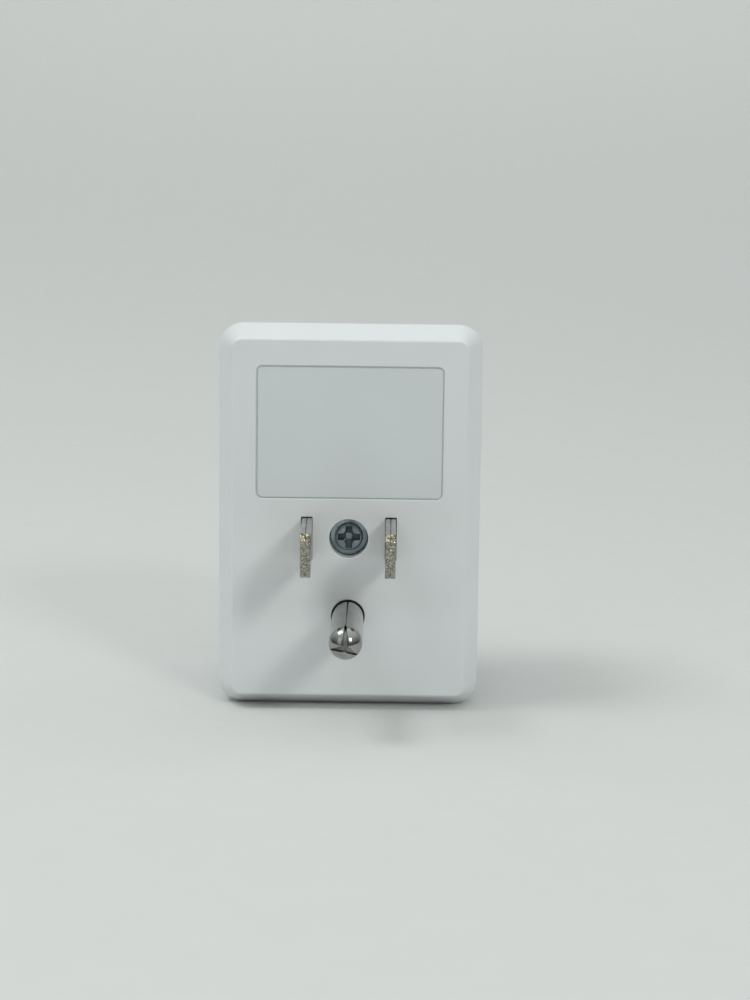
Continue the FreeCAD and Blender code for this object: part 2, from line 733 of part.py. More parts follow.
def blade_retainer():
    """Plate that clamps the blades and the ground pin against the rear wall."""
    body = new_body("blade_retainer")
    add(body, "plate", "back_wall", RETAINER_FRONT,
        rounded("-retainer_width / 2", "retainer_width / 2", "-retainer_bottom", "retainer_top",
                "retainer_radius"))
    cut(body, "boss_hole", "back_wall", RETAINER_FRONT, disc("0", "0", "screw_boss_radius + fixed_gap"))
    shoulder_wide = "(blade_thickness + 2 * fixed_gap)"
    shoulder_tall = "(shoulder_width + 2 * fixed_gap)"
    cut(body, "shoulders", "back_wall", "(back_wall + shoulder_height)",
        *[centred(f"{side} * blade_pitch / 2", "0", shoulder_wide, shoulder_tall) for side in (-1, 1)])
    cut(body, "tab_slots", "(back_wall + shoulder_height)", RETAINER_FRONT,
        *[centred(f"{side} * blade_pitch / 2", "(tab_offset + tab_width / 2)", shoulder_wide,
                  "(tab_width + 2 * fixed_gap)") for side in (-1, 1)])
    cut(body, "flange_seat", "back_wall", "(back_wall + ground_flange_height)",
        disc("0", "-ground_drop", f"{GROUND_FLANGE} + fixed_gap"))
    cut(body, "stub_hole", "(back_wall + ground_flange_height)", RETAINER_FRONT,
        disc("0", "-ground_drop", "ground_stub_radius + fixed_gap"))
    cut(body, "stake_holes", "back_wall", RETAINER_FRONT,
        *[disc(x, z, "stake_radius + fixed_gap") for x, z in stake_places()])
    return body


# --- power board ----------------------------------------------------------------------------------

def header_places():
    middle = (HEADER_PIN_COUNT - 1) / 2
    return [f"{index - middle} * header_pitch" for index in range(HEADER_PIN_COUNT)]


def tab_opening(side, gap="solder_gap"):
    """The opening for a blade's tab. A strap has no gap: it is soldered to the tab."""
    return centred(f"{side} * blade_pitch / 2", "(tab_offset + tab_width / 2)",
                   f"(blade_thickness + 2 * {gap})", f"(tab_width + 2 * {gap})")


def tail_opening(side, gap="solder_gap"):
    """The opening for a socket contact's tail."""
    return centred(f"{side} * blade_pitch / 2", "(-tab_offset - tab_width / 2)",
                   f"(tail_thickness + 2 * {gap})", f"(tab_width + 2 * {gap})")


def ground_tail_opening(gap="solder_gap"):
    return centred("0", f"(-{GROUND_TAIL} - ground_tail_thickness / 2)",
                   f"(ground_tail_width + 2 * {gap})", f"(ground_tail_thickness + 2 * {gap})")


def shunt_leg_opening(height, gap="solder_gap"):
    return centred("shunt_side", height, f"(shunt_width + 2 * {gap})", f"(shunt_thickness + 2 * {gap})")


def power_board():
    """Mains circuit board on four posts of the rear cover."""
    body = new_body("power_board")
    inset = "(side_wall + board_margin)"
    add(body, "board", "board_depth", BOARD_FRONT, inset_outline(inset, "corner_radius - side_wall"))
    cut(body, "boss_hole", "board_depth", BOARD_FRONT, disc("0", "0", "insert_boss_radius + fixed_gap"))
    cut(body, "screw_holes", "board_depth", BOARD_FRONT,
        *[disc(x, z, "small_screw_radius + fixed_gap") for x, z in post_places()])
    cut(body, "plug_openings", "board_depth", BOARD_FRONT,
        *[opening(side) for opening in (tab_opening, tail_opening) for side in (-1, 1)],
        disc("0", "-ground_drop", "ground_stub_radius + solder_gap"), ground_tail_opening(),
        shunt_leg_opening("shunt_upper"), shunt_leg_opening("(-shunt_lower)"))
    cut(body, "header_holes", "board_depth", BOARD_FRONT,
        *[disc(x, HEADER_LINE, "header_hole_radius") for x in header_places()])
    lead_holes = [disc(x, z, "lead_radius + fixed_gap") for places in
                  (mains_capacitor_leads(), filter_capacitor_leads(), varistor_leads(), fuse_leads())
                  for x, z in places]
    cut(body, "lead_holes", "board_depth", BOARD_FRONT, *lead_holes)
    return body


def small_screw(name, x, z, seat, direction):
    """Pan head and shank. Direction 1 drives the screw towards the display, -1 towards the wall."""
    if direction > 0:
        head = round_bar(f"{name}_head", x, z, f"({seat} - small_head_height)", seat, "small_head_radius")
        shank = round_bar(f"{name}_shank", x, z, seat,
                          f"({seat} + small_screw_length)", "small_screw_radius")
    else:
        head = round_bar(f"{name}_head", x, z, seat, f"({seat} + small_head_height)", "small_head_radius")
        shank = round_bar(f"{name}_shank", x, z, f"({seat} - small_screw_length)", seat,
                          "small_screw_radius")
    return fused(f"{name}_screw", [head, shank])


def board_screws():
    """Four screws that hold the power board on its posts."""
    return group("board_screws", [small_screw(f"board_{index}", x, z, BOARD_FRONT, -1)
                                  for index, (x, z) in enumerate(post_places())])


def neutral_strap():
    """Copper strap from the neutral blade straight to the neutral contact."""
    body = new_body("neutral_strap")
    half = "(tab_offset + tab_width + strap_margin)"
    add(body, "strip", STRAP_REAR, "board_depth",
        centred("(-blade_pitch / 2)", "0", "strap_width", f"(2 * {half})"))
    cut(body, "openings", STRAP_REAR, "board_depth", tab_opening(-1, "0"), tail_opening(-1, "0"))
    return body


def line_strap(label, inner_edge, outer_edge, opening, leg):
    """Copper strap on the line side, between a plug or socket tab and one leg of the shunt."""
    body = new_body(label)
    inner = "(blade_pitch / 2 - strap_width / 2)"
    outer = "(shunt_side + shunt_width / 2 + strap_margin)"
    low, high = sorted((inner_edge, outer_edge), key=number)
    add(body, "strip", STRAP_REAR, "board_depth", rectangle(inner, outer, low, high))
    cut(body, "openings", STRAP_REAR, "board_depth", opening, leg)
    return body


def ground_strap():
    """Copper strap from the ground pin to the ground contact."""
    body = new_body("ground_strap")
    half = "(ground_stub_radius + solder_gap + strap_margin)"
    low = f"(-{GROUND_TAIL} - ground_tail_thickness - strap_margin)"
    high = f"(-ground_drop + {half})"
    add(body, "strip", STRAP_REAR, "board_depth", rectangle(f"-{half}", half, low, high))
    cut(body, "openings", STRAP_REAR, "board_depth", ground_tail_opening("0"),
        disc("0", "-ground_drop", "ground_stub_radius + solder_gap"))
    return body


def shunt_resistor():
    """Bridge of resistance metal whose voltage drop measures the current."""
    body = new_body("shunt_resistor")
    crown = f"(-{BOARD_FRONT} - shunt_rise)"
    foot = f"(-{STRAP_REAR})"
    half = "(shunt_thickness / 2)"
    upper_out, upper_in = f"(shunt_upper + {half})", f"(shunt_upper - {half})"
    lower_out, lower_in = f"(-shunt_lower - {half})", f"(-shunt_lower + {half})"
    slab(body, "bridge", "YZ_Plane", "shunt_width", outline(
        (foot, upper_out), (crown, upper_out), (crown, lower_out), (foot, lower_out),
        (foot, lower_in), (f"{crown} + shunt_thickness", lower_in),
        (f"{crown} + shunt_thickness", upper_in), (foot, upper_in)))
    bind(body, "Placement.Base.x", "shunt_side")
    return body


def mains_capacitor_leads():
    return [(f"{side} * mains_capacitor_pitch / 2", CAPACITOR_LINE) for side in (-1, 1)]


def filter_capacitor_leads():
    return [(f"(-filter_capacitor_side + {side} * filter_capacitor_pitch / 2)", "filter_capacitor_line")
            for side in (-1, 1)]


def varistor_leads():
    return [("varistor_side", f"(varistor_line + {side} * varistor_pitch / 2)") for side in (-1, 1)]


def fuse_leads():
    return [(f"(fuse_side + {side} * fuse_pitch / 2)", "fuse_line") for side in (-1, 1)]


def leads(name, places, front):
    """Wire leads from the board's solder side up to a part."""
    rear = "(board_depth - lead_tail)"
    return [round_bar(f"{name}_lead_{index}", x, z, rear, front, "lead_radius")
            for index, (x, z) in enumerate(places)]


def mains_capacitor():
    """Film capacitor across the mains, in a box."""
    half = "mains_capacitor_width / 2"
    front = f"({BOARD_FRONT} + mains_capacitor_rise)"
    case = block("mains_capacitor_case", f"-{half}", half, BOARD_FRONT, front,
                 f"({CAPACITOR_LINE} - mains_capacitor_tall / 2)",
                 f"({CAPACITOR_LINE} + mains_capacitor_tall / 2)")
    pieces = leads("mains_capacitor", mains_capacitor_leads(), BOARD_FRONT)
    return fused("mains_capacitor", [case] + pieces)


def filter_capacitor():
    """Electrolytic capacitor standing on the board."""
    front = f"({BOARD_FRONT} + filter_capacitor_rise)"
    can = round_bar("filter_capacitor_can", "-filter_capacitor_side", "filter_capacitor_line",
                    BOARD_FRONT, front, "filter_capacitor_radius")
    pieces = leads("filter_capacitor", filter_capacitor_leads(), BOARD_FRONT)
    return fused("filter_capacitor", [can] + pieces)


def varistor():
    """Surge absorber: a coated disc on two leads, with the coating run down to the board."""
    disc_body = doc.addObject("Part::Cylinder", "varistor_disc")
    across = FreeCAD.Rotation(FreeCAD.Vector(0, 1, 0), 90)
    disc_body.Placement = FreeCAD.Placement(FreeCAD.Vector(0, 0, 0), across)
    bind(disc_body, "Radius", "varistor_radius")
    bind(disc_body, "Height", "varistor_thickness")
    bind(disc_body, "Placement.Base.x", "varistor_side - varistor_thickness / 2")
    bind(disc_body, "Placement.Base.y", f"-{BOARD_FRONT} - lead_stand - varistor_radius")
    bind(disc_body, "Placement.Base.z", "varistor_line")
    middle = f"({BOARD_FRONT} + lead_stand + varistor_radius)"
    legs = [round_bar(f"varistor_leg_{index}", x, z, BOARD_FRONT, middle, "varistor_leg_radius")
            for index, (x, z) in enumerate(varistor_leads())]
    return fused("varistor", [disc_body] + legs + leads("varistor", varistor_leads(), BOARD_FRONT))


def fuse():
    """Radial fuse in a round case."""
    case = round_bar("fuse_case", "fuse_side", "fuse_line", BOARD_FRONT,
                     f"({BOARD_FRONT} + fuse_rise)", "fuse_radius")
    return fused("fuse", [case] + leads("fuse", fuse_leads(), BOARD_FRONT))


def chip_pins(name, x, line, rear, front, reach_from, reach_to):
    """Two rows of flat pins along a chip's long sides."""
    pins = []
    middle = (PINS_PER_SIDE - 1) / 2
    for index in range(PINS_PER_SIDE):
        centre = f"({line} + {index - middle} * chip_pin_pitch)"
        for side, (near, far) in enumerate(((reach_from, reach_to), (f"-{reach_to}", f"-{reach_from}"))):
            pins.append(block(f"{name}_pin_{index}_{side}", f"({x} + {near})", f"({x} + {far})",
                              rear, front, f"({centre} - chip_pin_width / 2)",
                              f"({centre} + chip_pin_width / 2)"))
    return pins


def metering_chip():
    """Small eight-pin chip that measures voltage and current."""
    x = "-chip_side"
    rear = f"({BOARD_FRONT} + chip_stand)"
    case = block("metering_chip_case", f"({x} - chip_width / 2)", f"({x} + chip_width / 2)", rear,
                 f"({BOARD_FRONT} + chip_height)", "(chip_line - chip_length / 2)",
                 "(chip_line + chip_length / 2)")
    pins = chip_pins("metering_chip", x, "chip_line", BOARD_FRONT, f"({BOARD_FRONT} + chip_height / 2)",
                     "(chip_width / 2)", "(chip_width / 2 + chip_pin_reach)")
    return fused("metering_chip", [case] + pins)


# --- socket ----------------------------------------------------------------------------------------

def cap_screw_places():
    return [(f"{side} * cap_screw_spacing / 2", "-cap_screw_drop") for side in (-1, 1)]


def block_outline():
    return rectangle("-block_width / 2", "block_width / 2", "-block_bottom", "block_top")


def ground_socket(sketch):
    """A circle flattened on top, for the ground pin of the load's plug."""
    radius, flat = number(GROUND_SOCKET), number(GROUND_FLAT)
    drop = number("ground_drop")
    corner = math.acos(flat / radius)
    centre = FreeCAD.Vector(0, -drop, 0)
    circle = Part.Circle(centre, FreeCAD.Vector(0, 0, 1), radius)
    arc = sketch.addGeometry(Part.ArcOfCircle(circle, math.pi / 2 + corner, 5 * math.pi / 2 - corner))
    reach = radius * math.sin(corner)
    start = FreeCAD.Vector(reach, flat - drop, 0)
    chord = sketch.addGeometry(Part.LineSegment(start, FreeCAD.Vector(-reach, flat - drop, 0)))
    sketch.addConstraint(Sketcher.Constraint("Coincident", arc, 2, chord, 1))
    sketch.addConstraint(Sketcher.Constraint("Coincident", chord, 2, arc, 1))
    sketch.addConstraint(Sketcher.Constraint("Horizontal", chord))
    fix_point(sketch, arc, 3, "0", "-ground_drop")
    link = sketch.addConstraint(Sketcher.Constraint("Radius", arc, radius))
    bind(sketch, f"Constraints[{link}]", GROUND_SOCKET)
    link = sketch.addConstraint(Sketcher.Constraint("DistanceY", arc, 3, chord, 1, flat))
    bind(sketch, f"Constraints[{link}]", GROUND_FLAT)


def outlet_face():
    """Socket insert: the face plate with its three openings, and the contact chambers behind it."""
    body = new_body("outlet_face")
    plate = add(body, "plate", FACE_SEAT, FACE_FRONT,
                rounded("-face_width / 2", "face_width / 2", "-face_bottom", "face_top", "face_radius"))
    soften(body, plate, edges_at(plate.Shape, FACE_FRONT), "button_softness")
    add(body, "block", CARRIER_REAR, FACE_SEAT, block_outline())
    add(body, "boss", "screw_boss_depth", CARRIER_REAR, disc("0", "0", "insert_boss_radius"))
    pilot_end = f"({SCREW_SEAT} + screw_length + screw_shank_radius)"
    cut(body, "pilot", "screw_boss_depth", pilot_end,
        disc("0", "0", "screw_shank_radius + screw_thread_gap"))
    cut(body, "chambers", CARRIER_REAR, CHAMBER_FRONT,
        centred("(blade_pitch / 2)", "0", CHAMBER_WIDTH, f"({LINE_SLOT} + 2 * chamber_over_slot)"),
        centred("(-blade_pitch / 2)", "0", CHAMBER_WIDTH,
                f"({NEUTRAL_SLOT} + 2 * chamber_over_slot)"),
        disc("0", "-ground_drop", f"{SLEEVE_RADIUS} + ground_chamber_gap"))
    cut(body, "cap_screw_pilots", CARRIER_REAR, f"({CARRIER_REAR} + small_screw_length)",
        *[disc(x, z, "small_screw_radius + screw_thread_gap") for x, z in cap_screw_places()])
    cut(body, "slots", CHAMBER_FRONT, FACE_FRONT,
        centred("(blade_pitch / 2)", "0", SLOT_WIDTH, LINE_SLOT),
        centred("(-blade_pitch / 2)", "0", SLOT_WIDTH, NEUTRAL_SLOT), ground_socket)
    return body


def contact_cap():
    """Plate that closes the contact chambers from behind."""
    body = new_body("contact_cap")
    add(body, "plate", CAP_REAR, CARRIER_REAR, block_outline())
    cut(body, "boss_hole", CAP_REAR, CARRIER_REAR, disc("0", "0", "insert_boss_radius + fixed_gap"))
    cut(body, "openings", CAP_REAR, CARRIER_REAR, tail_opening(-1), tail_opening(1),
        ground_tail_opening())
    cut(body, "screw_holes", CAP_REAR, CARRIER_REAR,
        *[disc(x, z, "small_screw_radius + fixed_gap") for x, z in cap_screw_places()])
    return body


def cap_screws():
    """Two screws that hold the cap on the socket insert."""
    return group("cap_screws", [small_screw(f"cap_{index}", x, z, CAP_REAR, 1)
                                for index, (x, z) in enumerate(cap_screw_places())])


def blade_contact(label, side, height):
    """Folded spring contact: two leaves that pinch a blade, and a tail through the board."""
    body = new_body(label)
    outer = "contact_half_width"
    base = f"(-{CONTACT_REAR})"
    pinch = f"(-{CONTACT_FRONT} + pinch_from_front)"
    mouth = f"(-{CONTACT_FRONT})"
    thin = "leaf_thickness"
    right = [(outer, base), (outer, f"{base} - contact_straight"), (f"contact_pinch + {thin}", pinch),
             ("contact_mouth", mouth), (f"contact_mouth - {thin}", mouth), ("contact_pinch", pinch),
             (f"{outer} - {thin}", f"{base} - contact_straight"), (f"{outer} - {thin}", f"{base} - {thin}")]
    left = [(f"-({x})", y) for x, y in reversed(right)]
    slab(body, "leaves", "XY_Plane", height, outline(*right, *left))
    tail_low, tail_high = "(-tab_offset - tab_width)", "(-tab_offset)"
    add(body, "tail", STRAP_REAR, CONTACT_REAR,
        rectangle("-tail_thickness / 2", "tail_thickness / 2", tail_low, tail_high))
    bind(body, "Placement.Base.x", f"{side} * blade_pitch / 2")
    return body


def ground_contact():
    """Slit sleeve that grips the load's ground pin, with a tail through the board."""
    body = new_body("ground_contact")
    add(body, "sleeve", SLEEVE_REAR, CONTACT_FRONT, disc("0", "0", SLEEVE_RADIUS))
    cut(body, "bore", SLEEVE_REAR, CONTACT_FRONT, disc("0", "0", "ground_radius + sleeve_play"))
    cut(body, "slit", SLEEVE_REAR, CONTACT_FRONT,
        rectangle("-sleeve_slit / 2", "sleeve_slit / 2", "0", f"{SLEEVE_RADIUS} + fixed_gap"))
    add(body, "tail", STRAP_REAR, f"({SLEEVE_REAR} + contact_straight)",
        rectangle("-ground_tail_width / 2", "ground_tail_width / 2",
                  f"-{SLEEVE_RADIUS}", f"-{SLEEVE_RADIUS} + ground_tail_thickness"))
    bind(body, "Placement.Base.z", "-ground_drop")
    return body


# --- display ---------------------------------------------------------------------------------------

def lcd_lens():
    """Clear window set into the front cover."""
    body = new_body("lcd_lens")
    gap = "fixed_gap"
    add(body, "sheet", LENS_SEAT, f"({LENS_SEAT} + lens_thickness)",
        rounded(f"-lens_width / 2 + {gap}", f"lens_width / 2 - {gap}",
                f"{LENS_LINE} - lens_height / 2 + {gap}", f"{LENS_LINE} + lens_height / 2 - {gap}",
                f"lens_radius - {gap}"))
    return body


def glass_outline(margin):
    return rectangle(f"-glass_width / 2 - {margin}", f"glass_width / 2 + {margin}",
                     f"{LENS_LINE} - glass_height / 2 - {margin}",
                     f"{LENS_LINE} + glass_height / 2 + {margin}")


def lcd_frame():
    """Frame that holds the glass, the light guide and the rubber strips on the display board."""
    body = new_body("lcd_frame")
    add(body, "ring", PANEL_FRONT, GLASS_FRONT, glass_outline("(fixed_gap + frame_wall)"),
        glass_outline("fixed_gap"))
    return body


def lcd_glass():
    return block("lcd_glass", "-glass_width / 2", "glass_width / 2", GLASS_REAR, GLASS_FRONT,
                 f"({LENS_LINE} - glass_height / 2)", f"({LENS_LINE} + glass_height / 2)")


def strip_edges(side):
    """Low and high edges of a rubber strip, above (1) or below (-1) the light guide."""
    far = "(glass_height / 2 - fixed_gap)"
    near = "(glass_height / 2 - fixed_gap - strip_width)"
    if side > 0:
        return f"({LENS_LINE} + {near})", f"({LENS_LINE} + {far})"
    return f"({LENS_LINE} - {far})", f"({LENS_LINE} - {near})"


def zebra_strips():
    """Two rubber strips with conducting layers that join the glass to the display board."""
    strips = []
    for name, side in (("upper", 1), ("lower", -1)):
        low, high = strip_edges(side)
        strips.append(block(f"{name}_strip", "-strip_length / 2", "strip_length / 2",
                            PANEL_FRONT, GLASS_REAR, low, high))
    return group("zebra_strips", strips)


def backlight():
    """Light guide between the two rubber strips."""
    low = f"({strip_edges(-1)[1]} + fixed_gap)"
    high = f"({strip_edges(1)[0]} - fixed_gap)"
    return block("backlight", "-strip_length / 2", "strip_length / 2", PANEL_FRONT,
                 f"({PANEL_FRONT} + backlight_thickness)", low, high)


def display_board():
    """Circuit board behind the display and the buttons."""
    body = new_body("display_board")
    half = f"({INNER_HALF} - panel_margin)"
    add(body, "board", PANEL_REAR, PANEL_FRONT,
        rounded(f"-{half}", half, PANEL_BOTTOM, PANEL_TOP, "corner_radius - side_wall"))
    cut(body, "screw_holes", PANEL_REAR, PANEL_FRONT,
        *[disc(x, z, "small_screw_radius + fixed_gap") for x, z in panel_post_places()])
    cut(body, "header_holes", PANEL_REAR, PANEL_FRONT,
        *[disc(x, HEADER_LINE, "header_hole_radius") for x in header_places()])
    return body


def display_screws():
    """Two screws that hold the display board on the front cover's posts."""
    return group("display_screws", [
        small_screw(f"display_{index}", x, z, PANEL_REAR, 1)
        for index, (x, z) in enumerate(panel_post_places())])


def controller_chip():
    """Processor on the back of the display board."""
    x, z, half = "-controller_side", CONTROLLER_LINE, "controller_width / 2"
    return block("controller_chip", f"({x} - {half})", f"({x} + {half})",
                 f"({PANEL_REAR} - controller_height)", PANEL_REAR, f"({z} - {half})", f"({z} + {half})")


def crystal():
    """Metal crystal can on the back of the display board."""
    body = new_body("crystal")
    half_long, half_wide = "(crystal_length / 2)", "(crystal_width / 2)"
    add(body, "can", f"({PANEL_REAR} - crystal_height)", PANEL_REAR,
        rounded(f"crystal_side - {half_long}", f"crystal_side + {half_long}",
                f"{CRYSTAL_LINE} - {half_wide}", f"{CRYSTAL_LINE} + {half_wide}", "crystal_radius"))
    return body


def header_strip():
    """Plastic strip of the connector between the two boards."""
    body = new_body("header_strip")
    half = "(header_width / 2)"
    add(body, "strip", HEADER_REAR, PANEL_REAR,
        rectangle(f"-{half}", half, f"{HEADER_LINE} - header_tall / 2",
                  f"{HEADER_LINE} + header_tall / 2"))
    cut(body, "holes", HEADER_REAR, PANEL_REAR,
        *[centred(f"({x})", HEADER_LINE, "header_pin_width", "header_pin_width") for x in header_places()])
    return body


def header_pins():
    """Pins that join the power board to the display board."""
    half = "header_pin_width / 2"
    pins = []
    for index, x in enumerate(header_places()):
        pins.append(block(f"header_pin_{index}", f"({x} - {half})", f"({x} + {half})",
                          "(board_depth - header_tail)", f"({PANEL_FRONT} + header_tail)",
                          f"({HEADER_LINE} - {half})", f"({HEADER_LINE} + {half})"))
    return group("header_pins", pins)


# --- buttons -----------------------------------------------------------------------------------------

def button(label, x):
    """Push button: the cap outside, a flange behind the cover and a stem on the switch."""
    body = new_body(label)
    half_wide, half_tall = "(button_width / 2)", "(button_tall / 2)"
    flange_rear = f"({FLANGE_FRONT} - button_flange_thickness)"
    cap_front = "(body_depth + button_proud)"
    cap = add(body, "cap", flange_rear, cap_front,
              rounded(f"-{half_wide}", half_wide, f"-{half_tall}", half_tall, "button_radius"))
    soften(body, cap, edges_at(cap.Shape, cap_front), "button_softness")
    add(body, "flange", flange_rear, FLANGE_FRONT,
        rectangle(f"-{half_wide} - button_flange", f"{half_wide} + button_flange",
                  f"-{half_tall} - button_flange", f"{half_tall} + button_flange"))
    add(body, "stem", PLUNGER_TIP, flange_rear, disc("0", "0", "stem_radius"))
    bind(body, "Placement.Base.x", x)
    bind(body, "Placement.Base.z", BUTTON_LINE)
    return body


def switch_body(label, x):
    """Case of a tactile switch, with the well that its plunger moves in."""
    body = new_body(label)
    add(body, "case", PANEL_FRONT, SWITCH_FRONT, centred("0", "0", "switch_width", "switch_tall"))
    cut(body, "well", f"({SWITCH_FRONT} - plunger_well)", SWITCH_FRONT,
        disc("0", "0", "plunger_radius + plunger_gap"))
    bind(body, "Placement.Base.x", x)
    bind(body, "Placement.Base.z", BUTTON_LINE)
    return body


def switch_plunger(label, x):
    """Round plunger of a tactile switch, pushed by the button's stem."""
    return round_bar(label, x, BUTTON_LINE, f"({SWITCH_FRONT} - plunger_root)", PLUNGER_TIP,
                     "plunger_radius")


# --- the whole meter ------------------------------------------------------------------------------------

def all_pieces():
    line_side, neutral_side = 1, -1
    pieces = [
        rear_cover(), front_cover(), rating_label(), cover_screw(),
        blade("line_blade", line_side), blade("neutral_blade", neutral_side), ground_pin(),
        blade_retainer(), power_board(), board_screws(), neutral_strap(),
        line_strap("line_in_strap", "(tab_offset / 2)", f"(shunt_upper + {SHUNT_MARGIN})",
                   tab_opening(line_side, "0"), shunt_leg_opening("shunt_upper", "0")),
        line_strap("line_out_strap", "(-tab_offset / 2)", f"(-shunt_lower - {SHUNT_MARGIN})",
                   tail_opening(line_side, "0"), shunt_leg_opening("(-shunt_lower)", "0")),
        ground_strap(), shunt_resistor(), mains_capacitor(), filter_capacitor(), varistor(), fuse(),
        metering_chip(), outlet_face(), contact_cap(), cap_screws(),
        blade_contact("line_contact", line_side, "line_contact_height"),
        blade_contact("neutral_contact", neutral_side, "neutral_contact_height"),
        ground_contact(), lcd_lens(), lcd_frame(), lcd_glass(), zebra_strips(), backlight(),
        display_board(), display_screws(), controller_chip(), crystal(), header_strip(), header_pins(),
    ]
    for label, x in button_places().items():
        pieces.append(button(label, x))
        pieces.append(switch_body(f"{label}_switch", x))
        pieces.append(switch_plunger(f"{label}_plunger", x))
    return pieces


pieces = all_pieces()
doc.recompute()

for thing in doc.Objects:
    if "Invalid" in thing.State or "Error" in thing.State:
        raise RuntimeError(f"{thing.Name} did not build: {thing.State}")

os.makedirs("parts", exist_ok=True)
for piece in pieces:
    if piece.Shape.isNull() or not piece.Shape.isValid():
        raise RuntimeError(f"{piece.Label} has no valid shape")
    piece.Shape.exportStep(os.path.join("parts", piece.Label + ".step"))
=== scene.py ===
import math

import bmesh
import bpy
from mathutils import Matrix, Vector


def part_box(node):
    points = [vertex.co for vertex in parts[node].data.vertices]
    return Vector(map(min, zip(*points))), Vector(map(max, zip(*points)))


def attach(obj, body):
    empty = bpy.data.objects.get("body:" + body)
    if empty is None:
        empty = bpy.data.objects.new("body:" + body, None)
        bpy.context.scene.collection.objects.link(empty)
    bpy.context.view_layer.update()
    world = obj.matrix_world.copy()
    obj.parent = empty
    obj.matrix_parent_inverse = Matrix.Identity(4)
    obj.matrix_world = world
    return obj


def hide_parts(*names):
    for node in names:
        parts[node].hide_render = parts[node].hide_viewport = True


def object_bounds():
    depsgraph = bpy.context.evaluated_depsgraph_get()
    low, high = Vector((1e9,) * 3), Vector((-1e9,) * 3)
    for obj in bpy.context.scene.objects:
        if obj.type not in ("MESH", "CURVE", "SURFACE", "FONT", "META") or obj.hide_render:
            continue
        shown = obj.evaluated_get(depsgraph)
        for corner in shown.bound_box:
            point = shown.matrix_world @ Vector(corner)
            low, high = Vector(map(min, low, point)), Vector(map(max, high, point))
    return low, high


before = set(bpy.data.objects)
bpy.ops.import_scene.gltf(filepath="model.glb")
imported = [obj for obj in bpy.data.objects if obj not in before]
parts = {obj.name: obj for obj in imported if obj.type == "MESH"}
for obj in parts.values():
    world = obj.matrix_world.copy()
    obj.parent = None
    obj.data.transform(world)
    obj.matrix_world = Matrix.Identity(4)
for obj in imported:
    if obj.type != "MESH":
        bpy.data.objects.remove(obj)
cad_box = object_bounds()


# ---- Rear cover -------------------------------------------------------------------------------
# Shell that lies against the wall, with a soft bevel all round its rim. It is injection moulded in
# white ABS, satin from the mould. One screw and the front cover's lip hold it to that cover.

mm = 0.001


def grain_coordinates(material, stretch=(1.0, 1.0, 1.0)):
    """The object's own coordinates, stretched along the grain of a finish."""
    nodes = material.node_tree.nodes
    place = nodes.new("ShaderNodeTexCoord")
    mapping = nodes.new("ShaderNodeMapping")
    mapping.inputs["Scale"].default_value = stretch
    material.node_tree.links.new(place.outputs["Object"], mapping.inputs["Vector"])
    return mapping.outputs["Vector"]


def cloud(material, vector, size, detail=2.0, roughness=0.5):
    """Noise whose features are about one size across."""
    noise = material.node_tree.nodes.new("ShaderNodeTexNoise")
    noise.inputs["Scale"].default_value = 1 / size
    noise.inputs["Detail"].default_value = detail
    noise.inputs["Roughness"].default_value = roughness
    material.node_tree.links.new(vector, noise.inputs["Vector"])
    return noise.outputs["Fac"]


def tones(material, factor, dark, light, low=0.35, high=0.65):
    """Two colours mixed by a factor."""
    ramp = material.node_tree.nodes.new("ShaderNodeValToRGB")
    ramp.color_ramp.elements[0].position = low
    ramp.color_ramp.elements[0].color = (*dark, 1)
    ramp.color_ramp.elements[1].position = high
    ramp.color_ramp.elements[1].color = (*light, 1)
    material.node_tree.links.new(factor, ramp.inputs["Fac"])
    return ramp.outputs["Color"]


def between(material, factor, low, high):
    """A cloudy factor spread over a range."""
    spread = material.node_tree.nodes.new("ShaderNodeMapRange")
    spread.inputs["From Min"].default_value = 0.3
    spread.inputs["From Max"].default_value = 0.7
    spread.inputs["To Min"].default_value = low
    spread.inputs["To Max"].default_value = high
    material.node_tree.links.new(factor, spread.inputs["Value"])
    return spread.outputs["Result"]


def relief(material, height, depth, under=None):
    """Bump of a real depth, over another bump where one is given."""
    bump = material.node_tree.nodes.new("ShaderNodeBump")
    bump.inputs["Strength"].default_value = 1.0
    bump.inputs["Distance"].default_value = depth
    material.node_tree.links.new(height, bump.inputs["Height"])
    if under is not None:
        material.node_tree.links.new(under, bump.inputs["Normal"])
    return bump.outputs["Normal"]


def new_finish(name, metallic=0.0, ior=1.53):
    material = bpy.data.materials.new(name)
    material.use_nodes = True
    shader = material.node_tree.nodes["Principled BSDF"]
    shader.inputs["Metallic"].default_value = metallic
    shader.inputs["IOR"].default_value = ior
    return material, shader, material.node_tree.links.new


flow_size, gloss_patch = 9 * mm, 3 * mm


def moulded(name, colour, roughness, grain=0.25 * mm, depth=0.006 * mm, shade=0.96):
    """Moulded plastic: spark-eroded grain, faint flow shading and patchy gloss."""
    material, shader, link = new_finish(name)
    place = grain_coordinates(material)
    flow = cloud(material, place, flow_size, detail=3)
    darker = tuple(channel * shade for channel in colour)
    link(tones(material, flow, darker, colour, 0.2, 0.8), shader.inputs["Base Color"])
    patches = cloud(material, place, gloss_patch, detail=4)
    link(between(material, patches, roughness * 0.85, roughness * 1.15), shader.inputs["Roughness"])
    waves = relief(material, flow, depth * 3)
    link(relief(material, cloud(material, place, grain), depth, waves), shader.inputs["Normal"])
    return material


def finish_of(material, *nodes):
    """Give parts of the frame their finish."""
    for node in nodes:
        parts[node].data.materials.clear()
        parts[node].data.materials.append(material)


white_shell = moulded("white_shell_plastic", (0.765, 0.80, 0.81), 0.34)
finish_of(white_shell, "rear_cover")


# ---- Rating label -----------------------------------------------------------------------------
# Thin satin film, die cut with rounded corners and pressed on its own glue into the recess of the
# rear cover. It carries no print.

label_film = moulded("label_film", (0.685, 0.735, 0.75), 0.42, grain=0.12 * mm, depth=0.002 * mm)
finish_of(label_film, "rating_label")


